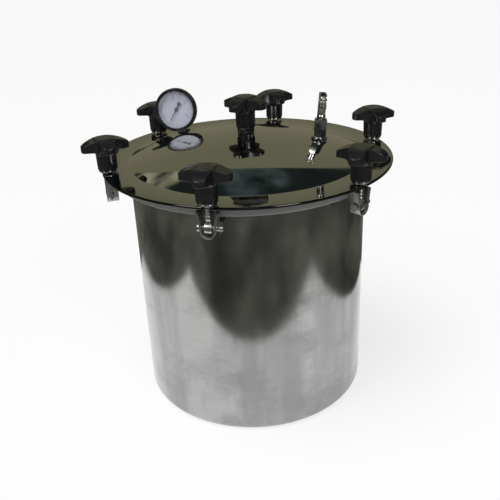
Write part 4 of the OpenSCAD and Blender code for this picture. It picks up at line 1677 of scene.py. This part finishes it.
@dataclass
class Clamps:
    """The six swing bolts, each with its washer and its knob.

    Attributes:
        eye: radius of a bolt's eye.
        eye_half: half of the eye's width.
        pin: radius of the hole in the eye.
        thread: radius of the bolts.
        pitch: rise of the thread in one turn.
        play: clearance between a washer and its bolt.
    """

    finishes: Finishes
    knob: Solid
    thread_maker: Thread
    eye: float = 6.5
    eye_half: float = 4.5
    pin: float = 3.1
    thread: float = 4.0
    pitch: float = 1.25
    play: float = 0.1

    def bolt(self, k: int) -> None:
        """Builds a swing bolt: a rounded eye, a shank and its thread.

        Args:
            k: the clamp's number.
        """
        middle = Frame.centre(f"clamp_washer_{k}")
        low, high = Frame.span(f"swing_bolt_{k}")
        angle = math.degrees(math.atan2(middle.y, middle.x))
        pin_z = low.z + self.eye
        half = self.eye_half
        eye = Solid().lathe(rounded([(self.pin, -half, 0.4), (self.eye, -half, 1.0),
                                     (self.eye, half, 1.0), (self.pin, half, 0.4)]), 48)
        eye.close().place(turned(0, 0, pin_z, 0, 90))
        core = self.thread - self.pitch * 0.62
        start = pin_z + self.eye + 3.0
        foot = pin_z + self.pin + 1.5
        shank = Solid().lathe(rounded([(0, foot, 0), (self.thread, foot, 0), (self.thread, start, 0.3),
                                       (core, start + 1.0, 0.2), (core, high.z, 0.8), (0, high.z, 0)]), 32)
        ridge = self.thread_maker.make(self.thread, self.pitch, high.z - start - 2.5, self.finishes.satin)
        ridge.place(Matrix.Translation((0, 0, start + 0.9)))
        solid = eye.take(shank.close(), ridge).place(turned(middle.x, middle.y, 0, angle))
        Piece(f"bolt_{k}_threaded", f"bolt_{k}", Slot.SATIN_STEEL, self.finishes.satin,
              (f"swing_bolt_{k}",)).make(solid)

    def washer(self, k: int) -> None:
        """Builds a washer with rounded edges.

        Args:
            k: the clamp's number.
        """
        low, high = Frame.span(f"clamp_washer_{k}")
        middle = (low + high) / 2
        bore, radius = self.thread + self.play, (high.x - low.x) / 2
        outline = rounded([(bore, low.z, 0.2), (radius, low.z, 0.5), (radius, high.z, 0.7),
                           (bore, high.z, 0.2)])
        Piece(f"washer_{k}_round", f"washer_{k}", Slot.SATIN_STEEL, self.finishes.chrome,
              (f"clamp_washer_{k}",)).make(
            Solid().lathe(outline, 64).close().place(turned(middle.x, middle.y, 0)))

    def top(self, k: int) -> None:
        """Puts a knob on its bolt.

        Args:
            k: the clamp's number.
        """
        node = f"clamp_knob_{k}"
        middle = Frame.centre(f"clamp_insert_{k}")
        solid = Solid().take(self.knob).place(
            turned(middle.x, middle.y, Frame.span(node)[0].z, Frame.arms(node)))
        Piece(f"cross_knob_{k}", f"knob_{k}", Slot.BAKELITE, self.finishes.bakelite, (node,)).make(solid)

    def build(self) -> None:
        """Builds all six clamps."""
        for k in range(1, 7):
            self.bolt(k)
            self.washer(k)
            self.top(k)


@dataclass
class Basket:
    """The perforated basket and the stand that it rests on.

    Attributes:
        sheet: the basket's thickness.
        hole: radius of the holes.
        rows: rows of holes in the wall.
        count: holes in a row.
        corner: radius of the bottom corner.
        rim: how far the rim stands out of the wall.
        foot_band: height of the plain band above the basket's floor.
        top_band: height of the plain band under its rim.
        ear: half of an ear's width.
        ear_sheet: thickness of an ear.
        spacing: between the rings of holes in the floor.
        stand_sheet: thickness of the stand's plate.
        stand_spacing: between the rings of holes in the stand.
        foot: radius of the stand's feet.
    """

    finishes: Finishes
    copies: Copies
    sheet: float = 1.0
    rim: float = 5.0
    hole: float = 4.0
    rows: int = 8
    count: int = 44
    corner: float = 10.0
    foot_band: float = 16.0
    top_band: float = 8.0
    ear: float = 5.0
    ear_sheet: float = 2.5
    spacing: float = 13.0
    stand_sheet: float = 2.0
    stand_spacing: float = 19.0
    foot: float = 6.5

    def tile(self, radius: float, height: float, rise: float) -> Solid:
        """One piece of the wall with its hole, at the front of the X axis.

        Args:
            radius: the wall's outer radius.
            height: the hole's height.
            rise: the tile's height.

        Returns:
            The tile, open where the next ones join it.
        """
        solid = Solid()
        half = math.pi / self.count
        square = [(1, 0), (1, 0.5), (1, 1), (0.5, 1), (0, 1), (-0.5, 1), (-1, 1), (-1, 0.5),
                  (-1, 0), (-1, -0.5), (-1, -1), (-0.5, -1), (0, -1), (0.5, -1), (1, -1), (1, -0.5)]
        loops = []
        for r in (radius, radius - self.sheet):
            edge = [(x * half, height + z * rise / 2) for x, z in square]
            rim = [(self.hole * math.cos(math.pi * k / 8) / radius,
                    height + self.hole * math.sin(math.pi * k / 8)) for k in range(16)]
            for loop in (edge, rim):
                loops.append([solid.mesh.verts.new((r * math.cos(a), r * math.sin(a), z))
                              for a, z in loop])
        for first, last in ((0, 1), (3, 2), (1, 3)):
            for k in range(16):
                n = (k + 1) % 16
                solid.mesh.faces.new((loops[first][k], loops[first][n], loops[last][n], loops[last][k]))
        return solid

    def wall(self, radius: float, low: float, high: float) -> Solid:
        """Builds the perforated wall.

        Args:
            radius: its outer radius.
            low: the height of its lower edge.
            high: the height of its upper edge.

        Returns:
            The wall.
        """
        rise = (high - low) / self.rows
        solid = self.copies.make(self.tile(radius, low + rise / 2, rise), self.finishes.satin,
                                 self.count, 360 / self.count, 0.0, self.rows, rise)
        for z in (low, high):
            edges = [e for e in solid.mesh.edges if len(e.link_faces) == 1
                     and all(abs(v.co.z - z) < 0.05 for v in e.verts)]
            bmesh.ops.bridge_loops(solid.mesh, edges=edges)
        return solid.close()

    def plate(self, radius: float, low: float, thick: float, spacing: float) -> Solid:
        """Builds a round plate with rings of holes.

        Args:
            radius: the plate's radius.
            low: the height of its underside.
            thick: its thickness.
            spacing: the distance between the rings.

        Returns:
            The plate.
        """
        plate = Solid().lathe([(0, low), (radius, low), (radius, low + thick), (0, low + thick)], 96)
        floor, roof = low - 1, low + thick + 1
        holes = Solid().prism(ring(self.hole, 12), floor, roof)
        row = 1
        while row * spacing + self.hole + 6 < radius:
            seed = Solid().prism(ring(self.hole, 12), floor, roof)
            seed.place(Matrix.Translation((row * spacing, 0, 0)))
            holes.take(self.copies.make(seed, self.finishes.satin, row * 6, 60 / row))
            row += 1
        return plate.joined("DIFFERENCE", holes)

    def basket(self) -> None:
        """Builds the basket: floor, corner, wall, rim and ears."""
        low, high = Frame.span("basket")
        top = Frame.span("basket_bail")[0].z - 0.3
        radius = Frame.span("basket_bail")[1].y - self.rim
        foot, sheet = low.z, self.sheet
        band, floor = foot + self.foot_band, radius - self.corner - 2
        cup = rounded([(floor, foot, 0), (radius, foot, self.corner), (radius, band, 0),
                       (radius - sheet, band, 0), (radius - sheet, foot + sheet, self.corner - sheet),
                       (floor, foot + sheet, 0)], 8)
        neck, lip = top - self.top_band, top - 1.2
        rim = rounded([(radius - sheet, neck, 0), (radius, neck, 0), (radius, lip, 0.2),
                       (high.y, lip, 0.5), (high.y, top, 0.5), (radius - sheet, top, 0.8)], 4)
        solid = Solid().lathe(cup, 176).take(Solid().lathe(rim, 176)).close()
        solid.take(self.wall(radius, band, neck), self.plate(floor, foot, sheet, self.spacing))
        half, under = self.ear, top - 0.6
        outline = rounded([(-half, under, 0), (half, under, 0), (half, high.z, half - 0.1),
                           (-half, high.z, half - 0.1)], 8)
        for start in (-high.x, high.x - self.ear_sheet):
            ear = Solid().prism(outline, 0, self.ear_sheet).bevel(0.3, 1, 40.0)
            solid.take(ear.place(Matrix.Translation((start, 0, 0)) @ DEPTH_ON_X))
        Piece("wire_basket", "basket", Slot.SATIN_STEEL, self.finishes.satin, ("basket",)).make(solid)

    def stand(self) -> None:
        """Builds the perforated stand on its feet."""
        low, high = Frame.span("support_stand")
        radius = high.x
        solid = self.plate(radius, high.z - self.stand_sheet, self.stand_sheet, self.stand_spacing)
        top = high.z - self.stand_sheet / 2
        for k in range(4):
            foot = Solid().lathe(rounded([(0, low.z, 0), (self.foot, low.z, 1.0), (self.foot, top, 0),
                                          (0, top, 0)]), 32).close()
            spot = Matrix.Translation((radius - self.foot * 2, 0, 0))
            solid.take(foot.place(turned(0, 0, 0, 90.0 * k) @ spot))
        Piece("perforated_stand", "root", Slot.SATIN_STEEL, self.finishes.satin,
              ("support_stand",)).make(solid)

    def build(self) -> None:
        """Builds the basket and its stand."""
        self.basket()
        self.stand()


@dataclass
class Studio:
    """The floor, the lamps, the surroundings that the steel mirrors, and the camera.

    Attributes:
        heading: the camera's direction round the object, in degrees.
        height: its elevation in degrees.
        distance: its distance from the middle of view, in millimetres.
        focal: its focal length over the frame's width.
        roll: its roll, in degrees.
        shift: how far the middle of view lies to the camera's right, in millimetres.
        middle: the height of the middle of view, in millimetres.
        white: how far the floor is plain white where it is seen.
        opening: corners of the pale patch of floor that the steel mirrors, in metres.
        opening_turn: the patch's turn about the object, in degrees.
        eye: the height in metres about which the mirrored room is centred.
    """

    heading: float = 14.5
    height: float = 25.53
    distance: float = 916.4
    focal: float = 1.337
    roll: float = -2.443
    shift: float = -1.255
    middle: float = 186.36
    white: float = 0.78
    opening: tuple[Point, ...] = ((-0.474, -0.347), (0.493, -0.347), (0.284, 0.3), (-0.413, 0.3))
    opening_turn: float = 12.75
    eye: float = 0.34

    def camera(self) -> None:
        """Puts the camera where the photograph was taken from."""
        a, e, r = (math.radians(v) for v in (self.heading, self.height, self.roll))
        right = Vector((math.cos(a), math.sin(a), 0))
        back = Vector((math.sin(a) * math.cos(e), -math.cos(a) * math.cos(e), math.sin(e)))
        up = back.cross(right)
        target = right * self.shift + Vector((0, 0, self.middle))
        x_axis = right * math.cos(r) + up * math.sin(r)
        y_axis = up * math.cos(r) - right * math.sin(r)
        data = bpy.data.cameras.new("camera")
        data.sensor_width = 36.0
        data.sensor_fit = "HORIZONTAL"
        data.lens = self.focal * data.sensor_width
        data.clip_end = 100.0
        camera = bpy.data.objects.new("camera", data)
        place = Matrix((x_axis, y_axis, back)).transposed().to_4x4()
        place.translation = (target + back * self.distance) * MM
        camera.matrix_world = place
        bpy.context.scene.collection.objects.link(camera)
        bpy.context.scene.camera = camera

    @staticmethod
    def card(name: str, corners: Sequence[Sequence[float]], material: bpy.types.Material,
             faces: Sequence[Sequence[int]]) -> bpy.types.Object:
        """Adds a thin piece of the studio.

        Args:
            name: its name.
            corners: its corners, in metres.
            material: its finish.
            faces: the corners of each face, by number.

        Returns:
            The object.
        """
        data = bpy.data.meshes.new(name)
        data.from_pydata([tuple(c) for c in corners], [], [tuple(f) for f in faces])
        data.materials.append(material)
        made = bpy.data.objects.new(name, data)
        bpy.context.scene.collection.objects.link(made)
        return made

    @staticmethod
    def seen(shader: Shader) -> Wire:
        """Tells rays that look from rays that light.

        Args:
            shader: the shader that asks.

        Returns:
            One for a ray of the camera, of a gloss or of glass, and nothing for the rest.
        """
        kinds = [shader.node("ShaderNodeLightPath", {}, {}, f"Is {name} Ray")
                 for name in ("Camera", "Glossy", "Transmission")]
        return (kinds[0] + kinds[1] + kinds[2]).clamped()

    def floor(self) -> None:
        """Lays the pale floor."""
        shader, material = Shader.material("pale_floor")
        mottle = shader.noise(shader.place(), 3.0, 3.0)
        paint = shader.blend(mottle, (0.86, 0.86, 0.86), (0.88, 0.88, 0.88))
        lit = shader.node("ShaderNodeBsdfDiffuse", {}, {"Color": paint})
        glow = shader.node("ShaderNodeEmission", {}, {"Color": (1.0, 1.0, 1.0, 1.0), "Strength": 1.0})
        mixed = shader.node("ShaderNodeMixShader", {}, {0: self.seen(shader) * self.white, 1: lit, 2: glow})
        shader.node("ShaderNodeOutputMaterial", {}, {"Surface": mixed})
        reach = 40.0
        self.card("floor", [(-reach, -reach, 0), (reach, -reach, 0), (reach, reach, 0), (-reach, reach, 0)],
                  material, [(0, 1, 2, 3)])

    def black_cards(self) -> None:
        """Lays dark cards round the object, which only its polished steel mirrors."""
        shader, material = Shader.material("dark_card")
        mottle = shader.noise(shader.place(), 2.2, 4.0, 0.6)
        shader.surface({
            "Base Color": shader.blend(
                shader.axis(shader.place(), "Y").between(0.5, 1.2),
                shader.blend(mottle.between(0.36, 0.62), (0.05, 0.054, 0.046), (0.17, 0.17, 0.145)),
                (0.2, 0.19, 0.125)),
            "Roughness": 0.9, "Specular IOR Level": 0.0})
        turn = Matrix.Rotation(math.radians(self.opening_turn), 2)
        inside = [turn @ Vector(corner) for corner in self.opening]
        reach = 30.0
        outside = [(-reach, -reach), (reach, -reach), (reach, reach), (-reach, reach)]
        corners = [(x, y, 0.004) for x, y in [*inside, *outside]]
        faces = [(k, (k + 1) % 4, (k + 1) % 4 + 4, k + 4) for k in range(4)]
        self.only_mirrored(self.card("black_cards", corners, material, faces))

    @staticmethod
    def only_mirrored(card: bpy.types.Object) -> None:
        """Hides a piece of the studio from all but reflections.

        Args:
            card: the piece.
        """
        card.visible_camera = False
        card.visible_diffuse = False
        card.visible_shadow = False
        card.visible_transmission = False

    def lamps(self) -> None:
        """Hangs a broad soft sun and two soft boxes."""
        sun = bpy.data.lights.new("soft_sun", "SUN")
        sun.energy = 2.6
        sun.angle = math.radians(40)
        lamp = bpy.data.objects.new("soft_sun", sun)
        lamp.rotation_euler = (math.radians(14), math.radians(-12), 0)
        bpy.context.scene.collection.objects.link(lamp)
        for name, spot, size, power in (("left_box", (-1.2, -1.6, 2.2), 0.9, 14.0),
                                        ("right_box", (1.5, -1.5, 1.9), 0.7, 14.0)):
            data = bpy.data.lights.new(name, "AREA")
            data.shape = "SQUARE"
            data.size = size
            data.energy = power
            box = bpy.data.objects.new(name, data)
            box.location = spot
            box.rotation_euler = (Vector(spot) - Vector((0, 0, 0.2))).to_track_quat("Z", "Y").to_euler()
            bpy.context.scene.collection.objects.link(box)

    @staticmethod
    def towards(shader: Shader, way: Wire, middle: Vector, size: float, soft: float = 4.0) -> Wire:
        """Marks a round patch of the room.

        Args:
            shader: the world's shader.
            way: the direction that is looked in.
            middle: the direction of the patch.
            size: the patch's radius, in degrees.
            soft: the width of its soft edge, in degrees.

        Returns:
            One inside the patch and nothing outside it.
        """
        dot = shader.node("ShaderNodeVectorMath", {"operation": "DOT_PRODUCT"},
                          {0: way, 1: middle.normalized()}, "Value")
        outer, inner = (math.cos(math.radians(size + side * soft / 2)) for side in (1, -1))
        return dot.between(outer, inner)

    def room(self, shader: Shader, way: Wire) -> Wire:
        """Gives the room's tones: a khaki wall behind the object and darkness round it.

        Args:
            shader: the shader that shows the room.
            way: the direction that is looked in.

        Returns:
            The colour in that direction.
        """
        mottle = shader.noise(way, 5.0, 5.0, 0.6)
        khaki = shader.blend(shader.axis(way, "Z").between(0.0, 0.6), (0.2, 0.19, 0.13), (0.165, 0.16, 0.105))
        dark = shader.blend(mottle, (0.005, 0.007, 0.007), (0.02, 0.028, 0.028))
        for spot, size, colour in ((Vector((-0.122, 0.573, 0.81)), 9.0, (0.06, 0.08, 0.085)),
                                   (Vector((-0.529, 0.619, 0.58)), 8.0, (0.34, 0.33, 0.23)),
                                   (Vector((0.232, -0.898, 0.375)), 8.0, (1.0, 1.0, 0.94))):
            near = self.towards(shader, way, spot, size)
            dark = shader.blend(near * mottle.between(0.3, 0.6), dark, colour)
        wall = self.towards(shader, way, Vector((-0.214, 0.902, 0.373)), 25.6, 0.6)
        return shader.blend(wall, dark, khaki)

    def screen(self) -> None:
        """Hangs a round screen in the room's tones, which only glossy surfaces mirror."""
        shader, material = Shader.material("room_screen")
        spot = shader.node("ShaderNodeVectorMath", {"operation": "SUBTRACT"},
                           {0: shader.place(), 1: (0.0, 0.0, self.eye)}, "Vector")
        way = shader.node("ShaderNodeVectorMath", {"operation": "NORMALIZE"}, {0: spot}, "Vector")
        glow = shader.node("ShaderNodeEmission", {}, {"Color": self.room(shader, way), "Strength": 1.0})
        shader.node("ShaderNodeOutputMaterial", {}, {"Surface": glow})
        material.cycles.emission_sampling = "NONE"
        rounds, levels, reach = 48, 16, 29.0
        corners = [(reach * math.cos(v) * math.cos(u), reach * math.cos(v) * math.sin(u),
                    reach * math.sin(v) + self.eye)
                   for v in (math.radians(-2.0 + 92.0 * k / levels) for k in range(levels))
                   for u in (math.tau * k / rounds for k in range(rounds))]
        faces = [(row * rounds + k, row * rounds + (k + 1) % rounds,
                  (row + 1) * rounds + (k + 1) % rounds, (row + 1) * rounds + k)
                 for row in range(levels - 1) for k in range(rounds)]
        corners.append((0.0, 0.0, reach + self.eye))
        top = (levels - 1) * rounds
        faces += [(top + k, top + (k + 1) % rounds, len(corners) - 1) for k in range(rounds)]
        self.only_mirrored(self.card("room_screen", corners, material, faces))

    def surroundings(self) -> None:
        """Lights the scene in the room's tones, and shows a pale backdrop where it is seen."""
        world = bpy.data.worlds.new("room")
        world.use_nodes = True
        bpy.context.scene.world = world
        shader = Shader(world.node_tree)
        way = shader.node("ShaderNodeTexCoord", {}, {}, "Generated")
        colour = shader.blend(self.seen(shader), self.room(shader, way), (0.93, 0.93, 0.93))
        light = shader.node("ShaderNodeBackground", {}, {"Color": colour, "Strength": 1.0})
        shader.node("ShaderNodeOutputWorld", {}, {"Surface": light})

    def build(self) -> None:
        """Builds the studio."""
        self.camera()
        self.floor()
        self.black_cards()
        self.screen()
        self.lamps()
        self.surroundings()
        bpy.context.scene.view_settings.view_transform = "Standard"


@dataclass
class Dressing:
    """Gives each CAD node that stays in sight its finish."""

    finishes: Finishes

    def build(self) -> None:
        """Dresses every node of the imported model."""
        f = self.finishes
        by_slot = {
            Slot.CLOUDY_STEEL: f.vessel, Slot.MIRROR_STEEL: f.lid, Slot.SATIN_STEEL: f.satin,
            Slot.CHROME: f.chrome, Slot.BAKELITE: f.bakelite, Slot.RUBBER: f.rubber,
            Slot.ENAMEL: f.enamel, Slot.DIAL: f.dial, Slot.GLASS: f.glass, Slot.BRASS: f.brass,
            Slot.LABEL: f.plate}
        for part in frame["record"]["subparts"]:
            for slot in frame["nodes"][part["node"]].material_slots:
                slot.material = by_slot[Slot(part["material_slot"])]
            LOG.info("%s wears %s", part["node"], part["material_slot"])


def main() -> None:
    """Builds the object's pieces, dresses the rest and sets up the studio."""
    logging.basicConfig(level=logging.INFO, format="%(name)s: %(message)s")
    Studio().build()
    finishes = Finishes()
    Dressing(finishes).build()
    copies, thread, knob = Copies(), Thread(), CrossKnob().solid()
    for part in (Vessel(finishes), Lid(finishes, knob), Gauge(finishes, copies), Valve(finishes),
                 Clamps(finishes, knob, thread), Basket(finishes, copies)):
        part.build()


if __name__ == "__main__":
    main()
